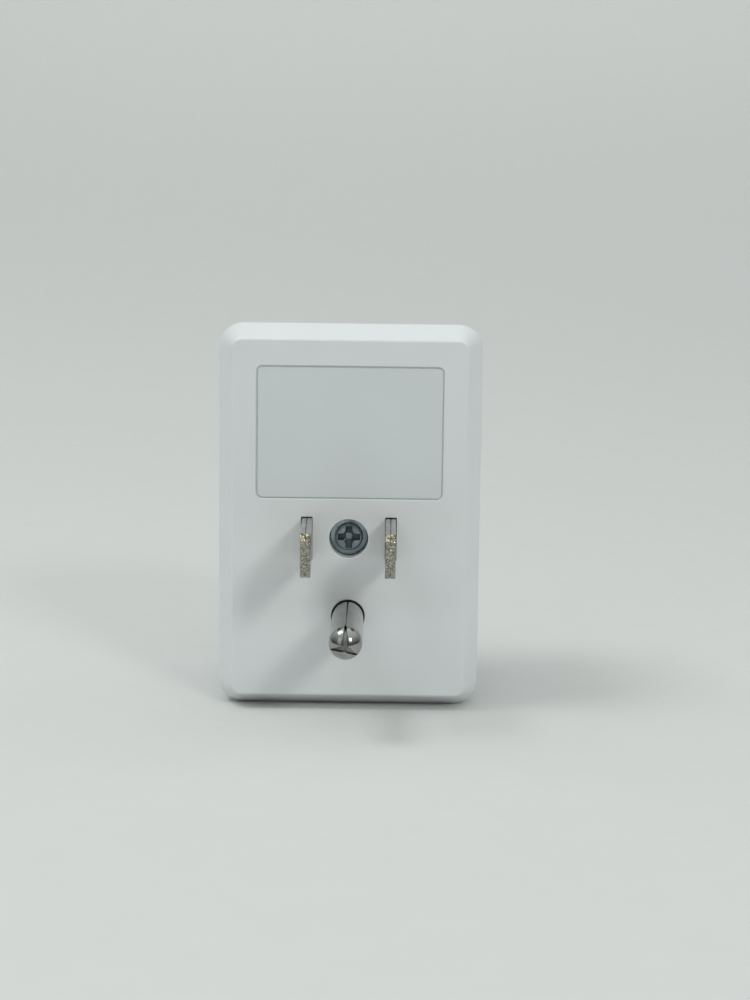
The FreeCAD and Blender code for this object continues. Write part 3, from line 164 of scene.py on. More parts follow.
# ---- Line and neutral blades --------------------------------------------------------------------
# Brass strip, folded double at the tip, pressed flat and nickel plated. The two layers show as a seam
# along the narrow edges, and the stretched skin of the fold is rough like orange peel. The upward
# bevel of each tip is coloured darker than the rest, as painted shade. A nylon plate clamps both
# blades inside the rear cover.

draw_line, draw_depth, draw_stretch = 0.09 * mm, 0.0012 * mm, 0.05


def plated(name, bright, tarnish, roughness, peel=None, peel_depth=0.0, mottle=2.2 * mm):
    """Plated metal: cloudy tarnish, fine drawing lines along the piece and an optional rough skin."""
    material, shader, link = new_finish(name, metallic=1.0)
    place = grain_coordinates(material)
    stain = cloud(material, place, mottle, detail=5, roughness=0.6)
    link(tones(material, stain, tarnish, bright), shader.inputs["Base Color"])
    link(between(material, stain, roughness * 1.5, roughness * 0.7), shader.inputs["Roughness"])
    along = grain_coordinates(material, (1.0, draw_stretch, 1.0))
    lines = relief(material, cloud(material, along, draw_line, detail=1), draw_depth)
    if peel:
        lines = relief(material, cloud(material, place, peel, detail=2), peel_depth, lines)
    link(lines, shader.inputs["Normal"])
    return material


def piece_from(name, points, faces, *materials):
    """A mesh object from corner points and faces, with its faces turned outwards."""
    mesh = bpy.data.meshes.new(name)
    mesh.from_pydata(points, [], faces)
    shape = bmesh.new()
    shape.from_mesh(mesh)
    bmesh.ops.recalc_face_normals(shape, faces=shape.faces)
    shape.to_mesh(mesh)
    shape.free()
    for material in materials:
        mesh.materials.append(material)
    piece = bpy.data.objects.new(name, mesh)
    bpy.context.scene.collection.objects.link(piece)
    return piece


def skin(name, sections, *materials):
    """A closed body through rings of points, capped at both ends."""
    count = len(sections[0])
    points = [point for section in sections for point in section]
    faces = []
    for ring in range(len(sections) - 1):
        for corner in range(count):
            following = (corner + 1) % count
            near, far = ring * count, (ring + 1) * count
            faces.append((near + corner, near + following, far + following, far + corner))
    faces.append(tuple(reversed(range(count))))
    last = (len(sections) - 1) * count
    faces.append(tuple(last + corner for corner in range(count)))
    return piece_from(name, points, faces, *materials)


def shade_by_angle(piece, degrees):
    """Smooth shading that keeps the edges sharper than an angle."""
    bpy.context.view_layer.objects.active = piece
    for thing in bpy.context.selected_objects:
        thing.select_set(False)
    piece.select_set(True)
    bpy.ops.object.shade_smooth_by_angle(angle=math.radians(degrees))
    piece.select_set(False)


def stands_for(piece, node, body="housing"):
    """The detailed piece takes the place of a plain part of the frame."""
    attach(piece, body)
    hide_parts(node)


blade_low, blade_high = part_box("line_blade")
blade_offset = (blade_low.x + blade_high.x) / 2
blade_length = blade_high.y
blade_root = -2.3 * mm
blade_half_width = 3.175 * mm
blade_half_thickness = 0.75 * mm
blade_bevel = 0.95 * mm
blade_edge_round = 0.10 * mm
seam_half_gap = 0.045 * mm
seam_depth = 0.26 * mm
fold_round = 0.22 * mm
fold_steps = 12
seam_fades_from, seam_fades_over = 0.7, 0.25
seam_flare, seam_shoulder, seam_bottom = 0.12, 0.3, 0.5
end_tilt, bevel_tilt = 0.9, 0.3
line_toe_in, neutral_toe_in = 0.50 * mm, 0.18 * mm


def blade_ring(y, half_width, half_thickness, seam):
    """One cross-section of a blade, with rounded edges and a seam in each narrow edge."""
    soft = min(blade_edge_round, half_thickness * 0.4)
    turns = [math.radians(degrees) for degrees in (90, 67.5, 45, 22.5, 0)]
    rounding = [(half_thickness - soft + soft * math.sin(turn),
                 half_width - soft + soft * math.cos(turn)) for turn in turns]
    groove = [(seam_half_gap + seam * seam_flare, half_width),
              (seam_half_gap, half_width - seam * seam_shoulder),
              (seam_half_gap * seam_bottom, half_width - seam)]
    right = rounding + groove
    left = [(-x, z) for x, z in reversed(right)]
    top = right + left
    bottom = [(-x, -z) for x, z in top]
    return [(x, y, z) for x, z in top + bottom]


def folded_blade(name, side, toe_in, flat, fold, top_bevel_shade):
    """Rings from inside the wall to the tip, drawn in where the tip corners are bevelled."""
    shoulder = blade_length - blade_bevel
    rings = [blade_ring(y, blade_half_width, blade_half_thickness, seam_depth)
             for y in (blade_root, shoulder - blade_edge_round)]
    for step in range(fold_steps + 1):
        share = step / fold_steps
        y = shoulder + share * blade_bevel
        into_round = max(0.0, (y - (blade_length - fold_round)) / fold_round)
        draw_in = fold_round * (1 - math.sqrt(max(0.0, 1 - into_round ** 2)))
        seam = seam_depth * max(0.0, 1 - max(0.0, share - seam_fades_from) / seam_fades_over)
        rings.append(blade_ring(y, blade_half_width - share * blade_bevel,
                                blade_half_thickness - draw_in, seam))
    blade = skin(name, rings, flat, fold, top_bevel_shade)
    for corner in blade.data.vertices:
        corner.co.x += side * blade_offset - side * toe_in * max(0.0, corner.co.y) / blade_length
    for face in blade.data.polygons:
        if face.normal.y > end_tilt:
            face.material_index = 1
        # Faces of the tip bevel that look upwards take the darker nickel: painted shade.
        elif min(face.normal.y, face.normal.z) > bevel_tilt:
            face.material_index = 2
    shade_by_angle(blade, 35)
    return blade


blade_nickel = plated("blade_nickel", (0.48, 0.475, 0.455), (0.34, 0.33, 0.30), 0.20)
fold_nickel = plated("stretched_nickel", (0.60, 0.585, 0.50), (0.17, 0.165, 0.135), 0.16,
                     peel=0.26 * mm, peel_depth=0.10 * mm, mottle=0.34 * mm)
# Darker nickel for the upward tip bevels: painted shade over the rough skin of the fold.
top_bevel_shaded_nickel = plated("top_bevel_shaded_nickel", (0.55, 0.49, 0.37), (0.07, 0.065, 0.05), 0.10,
                        peel=0.34 * mm, peel_depth=0.16 * mm, mottle=0.42 * mm)
line_blade = folded_blade("line_blade_folded", 1, line_toe_in, blade_nickel, fold_nickel,
                          top_bevel_shaded_nickel)
stands_for(line_blade, "line_blade")
neutral_blade = folded_blade("neutral_blade_folded", -1, neutral_toe_in, blade_nickel, fold_nickel,
                             top_bevel_shaded_nickel)
stands_for(neutral_blade, "neutral_blade")


# ---- Ground pin ---------------------------------------------------------------------------------
# Brass sheet rolled into a tube and nickel plated. The joint runs along the top, and three petals are
# pressed together over a dull inner layer to close the tip. That layer is also coloured darker than
# the plating, as painted shade in the gaps between the petals. The blades' nylon plate clamps its root.

pin_low, pin_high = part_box("ground_pin")
pin_axis_z = (pin_low.z + pin_high.z) / 2
pin_tip = pin_high.y
pin_radius = 2.38 * mm
pin_dome = 2.0 * mm
dome_start = pin_tip - pin_dome
pin_sheet = 0.5 * mm
pin_seam = 0.20 * mm
pin_sides = 96
petal_rows = 14
petal_joints = (0, 35, 67, pin_sides)
petal_turn, lining_turn = math.radians(78), math.radians(88)
petal_lead = 0.08
petal_gap, petal_mouth, mouth_curve = 0.04 * mm, 0.55 * mm, 2.2
narrowest_petal = 0.08
mouth_drop, drop_curve = 0.45 * mm, 1.3
lining_gap = 0.42 * mm
seam_course = ((12, 0.8), (7, 0.3), (3, 0.3), (1, 0.6), (0.1, 1.2), (0, 1.3))
pin_edge_round = 0.05 * mm


def around_pin(angle, radius, y, drop=0.0):
    """A point on a circle about the pin's axis, from its top. The drop lowers it."""
    return (-math.sin(angle) * radius, y, pin_axis_z + math.cos(angle) * radius - drop)


def joined_rows(near, far):
    """Faces between two rows of numbered points."""
    return [(near[step], near[step + 1], far[step + 1], far[step]) for step in range(len(near) - 1)]


def rolled_tube(points, faces):
    """The tube up to its tip. Gives its last row, where that starts and how far round it goes."""
    stations = [(blade_root, 1.0), (0.0, 1.0)]
    stations += [(dome_start - back * mm, share) for back, share in seam_course]
    previous = []
    for y, share in stations:
        start = share * pin_seam / 2 / pin_radius
        sweep = 2 * math.pi - 2 * start
        current = range(len(points), len(points) + pin_sides + 1)
        points += [around_pin(start + sweep * step / pin_sides, pin_radius, y)
                   for step in range(pin_sides + 1)]
        faces += joined_rows(previous, current)
        previous = current
    return previous, start, sweep


def bent_petal(points, faces, rim, middle, half):
    """One petal, bent in from its stretch of the rim and narrower towards the tip."""
    previous = rim
    count = len(rim) - 1
    for row in range(1, petal_rows + 1):
        share = row / petal_rows
        turn = petal_turn * share
        radius = pin_radius * (math.cos(turn) * (1 - petal_lead) + petal_lead * (1 - share))
        opening = petal_gap + petal_mouth * share ** mouth_curve
        drop = mouth_drop * (1 - radius / pin_radius) ** drop_curve
        narrowed = half - min(half * (1 - narrowest_petal), opening / radius)
        y = dome_start + pin_dome * math.sin(turn)
        current = range(len(points), len(points) + count + 1)
        points += [around_pin(middle + narrowed * (2 * step / count - 1), radius, y, drop)
                   for step in range(count + 1)]
        faces += joined_rows(previous, current)
        previous = current


def inner_dome(points, faces):
    """The inner layer under the petals. Its darker finish is painted shade where it shows in their gaps.
    """
    previous = []
    for row in range(petal_rows + 1):
        turn = lining_turn * row / petal_rows
        radius = (pin_radius - lining_gap) * math.cos(turn)
        y = dome_start + (pin_dome - lining_gap) * math.sin(turn)
        drop = mouth_drop * (1 - radius / pin_radius)
        current = [*range(len(points), len(points) + pin_sides), len(points)]
        points += [around_pin(2 * math.pi * step / pin_sides, radius, y, drop)
                   for step in range(pin_sides)]
        faces += joined_rows(previous, current)
        previous = current


def rolled_pin(name, material, inside):
    """Tube, petals and inner layer as sheets that get their thickness and soft edges last."""
    points, faces = [], []
    rim, start, sweep = rolled_tube(points, faces)
    for first, last in zip(petal_joints, petal_joints[1:]):
        bent_petal(points, faces, rim[first:last + 1], start + sweep * (first + last) / 2 / pin_sides,
                   sweep * (last - first) / 2 / pin_sides)
    lining = len(points)
    inner_dome(points, faces)
    pin = piece_from(name, points, faces, material, inside)
    for face in pin.data.polygons:
        face.material_index = int(face.vertices[0] >= lining)
    sheet = pin.modifiers.new("sheet", "SOLIDIFY")
    sheet.thickness = pin_sheet / 2
    sheet.offset = -1
    edges = pin.modifiers.new("edges", "BEVEL")
    edges.width = pin_edge_round
    edges.segments = 2
    edges.limit_method = "ANGLE"
    edges.angle_limit = math.radians(50)
    shade_by_angle(pin, 40)
    return pin


pin_nickel = plated("pin_nickel", (0.41, 0.415, 0.40), (0.28, 0.285, 0.275), 0.12)
# Darker than the pin's plating: painted shade in the gaps between the petals.
shaded_lining_nickel = plated("shaded_lining_nickel", (0.27, 0.28, 0.275), (0.17, 0.18, 0.175), 0.40)
stands_for(rolled_pin("ground_pin_rolled", pin_nickel, shaded_lining_nickel), "ground_pin")


# ---- Blade retainer -----------------------------------------------------------------------------
# Plate moulded in natural nylon that clamps the blades and the pin. Two stakes of the rear cover pass
# through it, and their ends are melted over it.

natural_nylon = moulded("natural_nylon", (0.74, 0.71, 0.62), 0.45, grain=0.5 * mm, depth=0.01 * mm)
finish_of(natural_nylon, "blade_retainer")


# ---- Straps and shunt ---------------------------------------------------------------------------
# Punched copper straps, tinned by dipping, carry the mains from the plug to the socket. The bridge
# in the line path is resistance metal, brown from its heat treatment.

tinned_copper = plated("tinned_copper", (0.80, 0.62, 0.50), (0.62, 0.56, 0.52), 0.28,
                       peel=0.8 * mm, peel_depth=0.02 * mm)
finish_of(tinned_copper, "neutral_strap", "line_in_strap", "line_out_strap", "ground_strap")
resistance_metal = plated("resistance_metal", (0.50, 0.40, 0.32), (0.33, 0.26, 0.22), 0.38)
finish_of(resistance_metal, "shunt_resistor")


# ---- Power board --------------------------------------------------------------------------------
# Circuit board cut from glass epoxy, with green solder mask that is lighter where copper lies under
# it. Small screws hold it to four posts of the rear cover.

copper_block, copper_height = 4.5 * mm, 0.03 * mm
mask_patch, weave_size, weave_height = 2 * mm, 0.4 * mm, 0.006 * mm


def laminate(name, mask, over_copper):
    """Solder mask over blocks of copper, with the glass weave faintly showing."""
    material, shader, link = new_finish(name, ior=1.5)
    place = grain_coordinates(material)
    blocks = material.node_tree.nodes.new("ShaderNodeTexVoronoi")
    blocks.distance = "CHEBYCHEV"
    blocks.inputs["Scale"].default_value = 1 / copper_block
    link(place, blocks.inputs["Vector"])
    edge_of_copper = tones(material, blocks.outputs["Distance"], over_copper, mask, 0.40, 0.43)
    link(edge_of_copper, shader.inputs["Base Color"])
    link(between(material, cloud(material, place, mask_patch), 0.22, 0.34), shader.inputs["Roughness"])
    step = relief(material, blocks.outputs["Distance"], copper_height)
    threads = cloud(material, place, weave_size, detail=1)
    link(relief(material, threads, weave_height, step), shader.inputs["Normal"])
    return material


green_board = laminate("green_solder_mask", (0.015, 0.10, 0.04), (0.04, 0.22, 0.08))
finish_of(green_board, "power_board")


# ---- Parts on the power board ---------------------------------------------------------------------
# Film capacitor in a yellow box, sleeved electrolytic capacitor, dipped surge absorber, moulded
# fuse and a small measuring chip, all soldered to the board.

capacitor_box = moulded("capacitor_box", (0.62, 0.46, 0.05), 0.42, grain=0.4 * mm, depth=0.01 * mm)
finish_of(capacitor_box, "mains_capacitor")
capacitor_sleeve = moulded("capacitor_sleeve", (0.02, 0.03, 0.09), 0.22, grain=1.2 * mm)
finish_of(capacitor_sleeve, "filter_capacitor")
dipped_epoxy = moulded("dipped_epoxy", (0.03, 0.10, 0.34), 0.30, grain=0.9 * mm, depth=0.04 * mm)
finish_of(dipped_epoxy, "varistor")
fuse_moulding = moulded("fuse_moulding", (0.16, 0.04, 0.03), 0.40)
finish_of(fuse_moulding, "fuse")
black_moulding = moulded("black_moulding", (0.022, 0.022, 0.024), 0.45, grain=0.2 * mm, depth=0.01 * mm)
finish_of(black_moulding, "metering_chip")


# ---- Socket contacts ------------------------------------------------------------------------------
# Spring brass folded into leaves that pinch the blades of the load's plug, and a slit brass sleeve
# for its ground pin. A nylon cap closes their chambers from behind.

spring_brass = plated("spring_brass", (0.78, 0.60, 0.30), (0.55, 0.40, 0.18), 0.25)
finish_of(spring_brass, "line_contact", "neutral_contact", "ground_contact")
finish_of(natural_nylon, "contact_cap")


# ---- Socket insert --------------------------------------------------------------------------------
# Insert moulded in flame-retardant white plastic, slightly creamier than the shell, with the three
# openings for the load's plug. The cover screw draws it and both covers together.

insert_plastic = moulded("socket_insert_plastic", (0.79, 0.80, 0.77), 0.32, grain=0.3 * mm,
                         depth=0.004 * mm)
finish_of(insert_plastic, "outlet_face")


# ---- Display glass --------------------------------------------------------------------------------
# Liquid-crystal cell with a grey-green polarising film glued on its front, where the unlit segments of
# the digits show faintly. A nylon frame clamps it, with its light guide, on two conducting strips.

cell_low, cell_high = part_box("lcd_glass")
cell_centre = (cell_low + cell_high) / 2
polariser_inset, polariser_thickness = 0.5 * mm, 0.12 * mm
digit_count, digit_width, digit_height, digit_pitch = 4, 3.1 * mm, 5.8 * mm, 4.9 * mm
segment_half, segment_gap, segment_film = 0.27 * mm, 0.09 * mm, 0.012 * mm
digit_slant = 0.09
corner_steps = 6


def rounded_loop(half_wide, half_tall, radius, y):
    """A rectangle with rounded corners, across Y."""
    loop = []
    for quarter, (side, level) in enumerate(((1, 1), (-1, 1), (-1, -1), (1, -1))):
        for step in range(corner_steps + 1):
            turn = math.radians(90) * (quarter + step / corner_steps)
            loop.append((side * (half_wide - radius) + radius * math.cos(turn), y,
                         level * (half_tall - radius) + radius * math.sin(turn)))
    return loop


def moved(loop, centre):
    return [(x + centre.x, y, z + centre.z) for x, y, z in loop]


def film_sheet(name, half_wide, half_tall, radius, front, rear, centre, material):
    """A thin plate with rounded corners."""
    faces = [moved(rounded_loop(half_wide, half_tall, radius, y), centre) for y in (front, rear)]
    return skin(name, faces, material)


def segment_bar(x0, z0, x1, z1):
    """Six corners of one bar of a digit, pointed at both ends."""
    run = Vector((x1 - x0, z1 - z0)).normalized()
    across = Vector((-run.y, run.x)) * segment_half
    start = Vector((x0, z0)) + run * segment_gap
    end = Vector((x1, z1)) - run * segment_gap
    inner_start, inner_end = start + run * segment_half, end - run * segment_half
    return [start, inner_start + across, inner_end + across, end, inner_end - across, inner_start - across]


def digit_bars():
    """The seven bars of one digit about its centre."""
    x, z = digit_width / 2 - segment_half, digit_height / 2 - segment_half
    level = [(-x, height, x, height) for height in (-z, 0, z)]
    upright = [(side, low, side, low + z) for side in (-x, x) for low in (-z, 0)]
    return [segment_bar(*bar) for bar in level + upright]


def unlit_segments(name, front, material):
    """All bars of the display, each a film with its own thickness."""
    points, faces = [], []
    for digit in range(digit_count):
        middle = cell_centre.x + (digit - (digit_count - 1) / 2) * digit_pitch
        for bar in digit_bars():
            first = len(points)
            for y in (front, front + segment_film):
                points += [(middle - p.x - digit_slant * p.y, y, cell_centre.z + p.y) for p in bar]
            faces.append(tuple(first + k for k in range(6)))
            faces.append(tuple(first + 6 + k for k in range(6)))
            faces += [(first + k, first + (k + 1) % 6, first + 6 + (k + 1) % 6, first + 6 + k)
                      for k in range(6)]
    return piece_from(name, points, faces, material)


cell_glass = moulded("liquid_crystal_cell", (0.30, 0.34, 0.28), 0.10, grain=2 * mm, depth=0.001 * mm)
finish_of(cell_glass, "lcd_glass")
polariser_film = moulded("polarising_film", (0.36, 0.41, 0.33), 0.20, grain=0.15 * mm, depth=0.001 * mm)
polariser = film_sheet("lcd_polariser", (cell_high.x - cell_low.x) / 2 - polariser_inset,
                       (cell_high.z - cell_low.z) / 2 - polariser_inset, polariser_inset,
                       cell_low.y - polariser_thickness, cell_low.y, cell_centre, polariser_film)
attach(polariser, "housing")
segment_tint = moulded("unlit_segment_tint", (0.29, 0.33, 0.265), 0.20, grain=0.15 * mm,
                       depth=0.001 * mm)
segments = unlit_segments("lcd_segments", cell_low.y - polariser_thickness - segment_film, segment_tint)
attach(segments, "housing")

finish_of(natural_nylon, "lcd_frame")
milky_acrylic = moulded("milky_light_guide", (0.82, 0.85, 0.82), 0.25, grain=1 * mm)
finish_of(milky_acrylic, "backlight")


def layered_rubber(name, light, dark, layer):
    """Silicone rubber with thin conducting layers across its length."""
    material, shader, link = new_finish(name, ior=1.45)
    shader.inputs["Roughness"].default_value = 0.6
    layers = material.node_tree.nodes.new("ShaderNodeTexWave")
    layers.inputs["Scale"].default_value = 0.05 / layer
    layers.inputs["Distortion"].default_value = 0.4
    link(grain_coordinates(material), layers.inputs["Vector"])
    link(tones(material, layers.outputs["Fac"], dark, light), shader.inputs["Base Color"])
    link(relief(material, layers.outputs["Fac"], 0.01 * mm), shader.inputs["Normal"])
    return material


strip_rubber = layered_rubber("layered_rubber", (0.30, 0.30, 0.31), (0.03, 0.03, 0.03), 0.18 * mm)
finish_of(strip_rubber, "zebra_strips")


# ---- Display board ----------------------------------------------------------------------------------
# Second circuit board of the same laminate, with the processor and its crystal soldered on. Two
# screws hold it in the front cover, and gold-flashed pins in a black strip join it to the power board.

finish_of(green_board, "display_board")
finish_of(black_moulding, "controller_chip", "header_strip")
crystal_can = plated("crystal_can", (0.72, 0.72, 0.72), (0.58, 0.58, 0.57), 0.24)
finish_of(crystal_can, "crystal")
gold_flash = plated("gold_flash", (0.86, 0.66, 0.30), (0.72, 0.52, 0.22), 0.18)
finish_of(gold_flash, "header_pins")


# ---- Front cover ------------------------------------------------------------------------------------
# The deep shell on the display side, moulded in the same white plastic as the rear one and with the
# same finish. Its lip fits inside the rear cover's edge.

finish_of(white_shell, "front_cover")


# ---- Display window ---------------------------------------------------------------------------------
# Window cut from clear acrylic and glued flush into the front cover. A dark border, printed on its
# back, hides the edges of the display glass.

def clear_acrylic(name):
    """Colourless plastic with a faint tint and the slight waviness of cast sheet."""
    material, shader, link = new_finish(name, ior=1.49)
    shader.inputs["Transmission Weight"].default_value = 1.0
    shader.inputs["Roughness"].default_value = 0.02
    place = grain_coordinates(material, (1.0, 1.0, 0.15))
    link(tones(material, cloud(material, place, 6 * mm), (0.93, 0.96, 0.95), (0.98, 1.0, 0.99)),
         shader.inputs["Base Color"])
    ripples = cloud(material, place, 0.3 * mm, detail=1)
    link(relief(material, ripples, 0.0004 * mm), shader.inputs["Normal"])
    return material


window_low, window_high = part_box("lcd_lens")
window_centre = (window_low + window_high) / 2
border_width, border_film, border_inset, border_corner = 2.1 * mm, 0.03 * mm, 0.15 * mm, 1.0 * mm


def window_border(name, material):
    """A flat ring of ink just inside the back of the window."""
    half_wide = (window_high.x - window_low.x) / 2 - border_inset
    half_tall = (window_high.z - window_low.z) / 2 - border_inset
    rear = window_high.y - border_film / 2
    loops = [rounded_loop(half_wide - margin, half_tall - margin, border_corner - margin / 4, y)
             for margin, y in ((0, rear), (0, rear - border_film), (border_width, rear - border_film),
                               (border_width, rear))]
    count = len(loops[0])
    points = [point for loop in loops for point in moved(loop, window_centre)]
    faces = []
    for ring in range(len(loops)):
        near, far = ring * count, (ring + 1) % len(loops) * count
        faces += [(near + k, near + (k + 1) % count, far + (k + 1) % count, far + k)
                  for k in range(count)]
    return piece_from(name, points, faces, material)


finish_of(clear_acrylic("clear_acrylic"), "lcd_lens")
border_ink = moulded("window_border_ink", (0.045, 0.055, 0.065), 0.35, grain=0.1 * mm, depth=0.001 * mm)
border = window_border("window_border_print", border_ink)
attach(border, "housing")


# ---- Switches and keys ------------------------------------------------------------------------------
# Three tactile switches on the display board. Each pushes back through its plunger at a grey
# moulded key, which is kept in the front cover by a flange.

key_plastic = moulded("grey_key_plastic", (0.17, 0.19, 0.21), 0.38, grain=0.18 * mm, depth=0.008 * mm)
plunger_plastic = moulded("switch_plunger_plastic", (0.74, 0.72, 0.66), 0.40)
for side in ("left", "middle", "right"):
    finish_of(black_moulding, f"{side}_button_switch")
    finish_of(plunger_plastic, f"{side}_button_plunger")
    finish_of(key_plastic, f"{side}_button")


# ---- Screws -----------------------------------------------------------------------------------------
# Rolled steel screws with a cross recess, zinc plated, that cut their own threads: a large one with
# a flange through the rear cover into the socket insert, and small ones for the boards and the cap.

screw_sides = 40
thread_steps = 10
head_steps = 6
crown_flat = 0.3
thread_share, thread_flat = 0.24, 0.7
point_share, point_length = 0.2, 1.6
cross_arm, cross_reach, cross_corner, cross_depth = 0.25, 0.82, 0.30, 0.7


def lathe_ring(y, radius):
    """Points around the Y axis. The radius may depend on the angle."""
    ring = []
    for step in range(screw_sides):
        turn = 2 * math.pi * step / screw_sides
        reach = radius(turn) if callable(radius) else radius
        ring.append((reach * math.cos(turn), y, reach * math.sin(turn)))
    return ring


def cross_recess(name, half_arm, reach, corner, depth):
    """The driver's cross as a tapered solid, to cut from a head whose top is at the origin."""
    rings = []
    for y, shrink in ((0.1 * mm, 1.0), (-depth * 0.15, 0.95), (-depth, 0.26)):
        arm, far, curve = half_arm * (shrink + 1) / 2, reach * shrink, corner * shrink
        ring = []
        for quarter in range(4):
            outline = [(far, -arm), (far, arm)]
            outline += [(arm + curve * (1 - math.sin(turn)), arm + curve * (1 - math.cos(turn)))
                        for turn in (math.radians(90) * step / 5 for step in range(6))]
            for x, z in outline:
                turned = Matrix.Rotation(quarter * math.pi / 2, 2) @ Vector((x, z))
                ring.append((turned.x, y, turned.y))
        rings.append(ring)
    return skin(name, rings)


def driven_screw(name, head_radius, head_height, rounding, shank_radius, length, pitch, material,
                 flange=()):
    """A pan-head screw along Y, with the top of its head at the origin and a helical thread.

    The flange is the (y, radius) outline of a washer that is one piece with the head.
    """
    rings = [lathe_ring(0, head_radius * crown_flat)]
    for step in range(head_steps + 1):
        turn = math.radians(90) * step / head_steps
        rings.append(lathe_ring(rounding * (math.cos(turn) - 1),
                                head_radius - rounding + rounding * math.sin(turn)))
    rings += [lathe_ring(y, radius) for y, radius in flange]
    rings += [lathe_ring(-head_height, flange[-1][1] if flange else head_radius),
              lathe_ring(-head_height, shank_radius)]
    thread_depth = shank_radius * thread_share
    count = int(length / pitch * thread_steps)
    for step in range(1, count + 1):
        run = length * step / count
        taper = min(1.0, max(point_share, (length - run) / (shank_radius * point_length)))

        def thread(turn, run=run, taper=taper):
            phase = (run / pitch + turn / (2 * math.pi)) % 1
            crest = max(0.0, 1 - abs(2 * phase - 1) / thread_flat)
            return (shank_radius - thread_depth * (1 - crest)) * taper

        rings.append(lathe_ring(-head_height - run, thread))
    screw = skin(name, rings, material)
    cross = cross_recess(f"{name}_cross", head_radius * cross_arm, head_radius * cross_reach,
                         head_radius * cross_corner, head_height * cross_depth)
    recess = screw.modifiers.new("cross", "BOOLEAN")
    recess.operation = "DIFFERENCE"
    recess.solver = "EXACT"
    recess.object = cross
    shaped = bpy.data.meshes.new_from_object(screw.evaluated_get(bpy.context.evaluated_depsgraph_get()))
    screw.modifiers.clear()
    screw.data = shaped
    bpy.data.objects.remove(cross)
    return screw


def screw_places(node, head_radius):
    """Axes of the screws in a group: one or two rows, on both sides of the middle."""
    low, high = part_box(node)
    rows = {round(low.z + head_radius, 6), round(high.z - head_radius, 6)}
    return [(side * (high.x - head_radius), z) for z in sorted(rows) for side in (-1, 1)]


def small_screws(node, faces_wall, material):
    """A group of the small screws, joined in one piece."""
    low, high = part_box(node)
    head_radius, head_height, shank_radius, pitch = 1.7 * mm, 1.2 * mm, 0.9 * mm, 0.7 * mm
    head_rounding = 0.5 * mm
    length = high.y - low.y - head_height
    screws = []
    for index, (x, z) in enumerate(screw_places(node, head_radius)):
        screw = driven_screw(f"{node}_{index}", head_radius, head_height, head_rounding, shank_radius,
                             length, pitch, material)
        facing = Matrix() if faces_wall else Matrix.Rotation(math.pi, 4, "Z")
        screw.data.transform(Matrix.Translation((x, high.y if faces_wall else low.y, z)) @ facing)
        screws.append(screw)
    whole = bmesh.new()
    for screw in screws:
        whole.from_mesh(screw.data)
    whole.to_mesh(screws[0].data)
    whole.free()
    for screw in screws[1:]:
        bpy.data.objects.remove(screw)
    group = screws[0]
    group.name = f"{node}_threaded"
    shade_by_angle(group, 35)
    return group


zinc = plated("zinc_plating", (0.32, 0.375, 0.395), (0.23, 0.27, 0.29), 0.30, peel=0.4 * mm,
              peel_depth=0.004 * mm)
for node, faces_wall in (("board_screws", False), ("cap_screws", True), ("display_screws", True)):
    stands_for(small_screws(node, faces_wall, zinc), node)

screw_low, screw_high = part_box("cover_screw")
cover_head_radius, cover_head_height, cover_head_rounding = 2.1 * mm, 1.7 * mm, 0.38 * mm
cover_shank_radius, cover_pitch = 1.3 * mm, 1.1 * mm
flange_height, flange_soft = 1.0 * mm, 0.06 * mm
cover_flange = [(flange_height - cover_head_height + flange_soft, cover_head_radius),
                (flange_height - cover_head_height, cover_head_radius + flange_soft),
                (flange_height - cover_head_height, screw_high.x - flange_soft),
                (flange_height - flange_soft - cover_head_height, screw_high.x)]
cover_shank_length = screw_high.y - screw_low.y - cover_head_height
cover_screw = driven_screw("cover_screw_threaded", cover_head_radius, cover_head_height,
                           cover_head_rounding, cover_shank_radius, cover_shank_length, cover_pitch,
                           zinc, cover_flange)
cover_screw.data.transform(Matrix.Translation((0, screw_high.y, 0)))
shade_by_angle(cover_screw, 35)
stands_for(cover_screw, "cover_screw")


# ---- Studio -------------------------------------------------------------------------------------
# Pale paper sweeps from under the meter up behind it. An overhead light stands to one side, a window
# and a lamp light the plug, a long light brightens the paper behind, and the ceiling does the rest.

table = cad_box[0][2]

paper = moulded("studio_paper", (0.665, 0.675, 0.665), 0.8, grain=0.5 * mm, depth=0.004 * mm,
                shade=0.985)
sweep_start, sweep_width, sweep_height, sweep_radius = -0.15, 5.0, 3.4, 2.4
sweep_front, sweep_steps = 1.6, 32
profile = [(sweep_front, table), (sweep_start, table)]
for step in range(1, sweep_steps + 1):
    turn = math.radians(90) * step / sweep_steps
    profile.append((sweep_start - sweep_radius * math.sin(turn),
                    table + sweep_radius * (1 - math.cos(turn))))
profile.append((sweep_start - sweep_radius, table + sweep_height))
points = [(x, y, z) for y, z in profile for x in (-sweep_width / 2, sweep_width / 2)]
faces = [(2 * row, 2 * row + 1, 2 * row + 3, 2 * row + 2) for row in range(len(profile) - 1)]
backdrop = piece_from("paper_sweep", points, faces, paper)
shade_by_angle(backdrop, 30)


def soft_light(name, place, target, width, height, power, colour):
    """A rectangular light turned towards a point."""
    light = bpy.data.lights.new(name, "AREA")
    light.shape = "RECTANGLE"
    light.size, light.size_y = width, height
    light.energy = power
    light.color = colour
    lamp = bpy.data.objects.new(name, light)
    lamp.location = place
    lamp.rotation_euler = (Vector(target) - Vector(place)).to_track_quat("-Z", "Y").to_euler()
    bpy.context.scene.collection.objects.link(lamp)
    return lamp


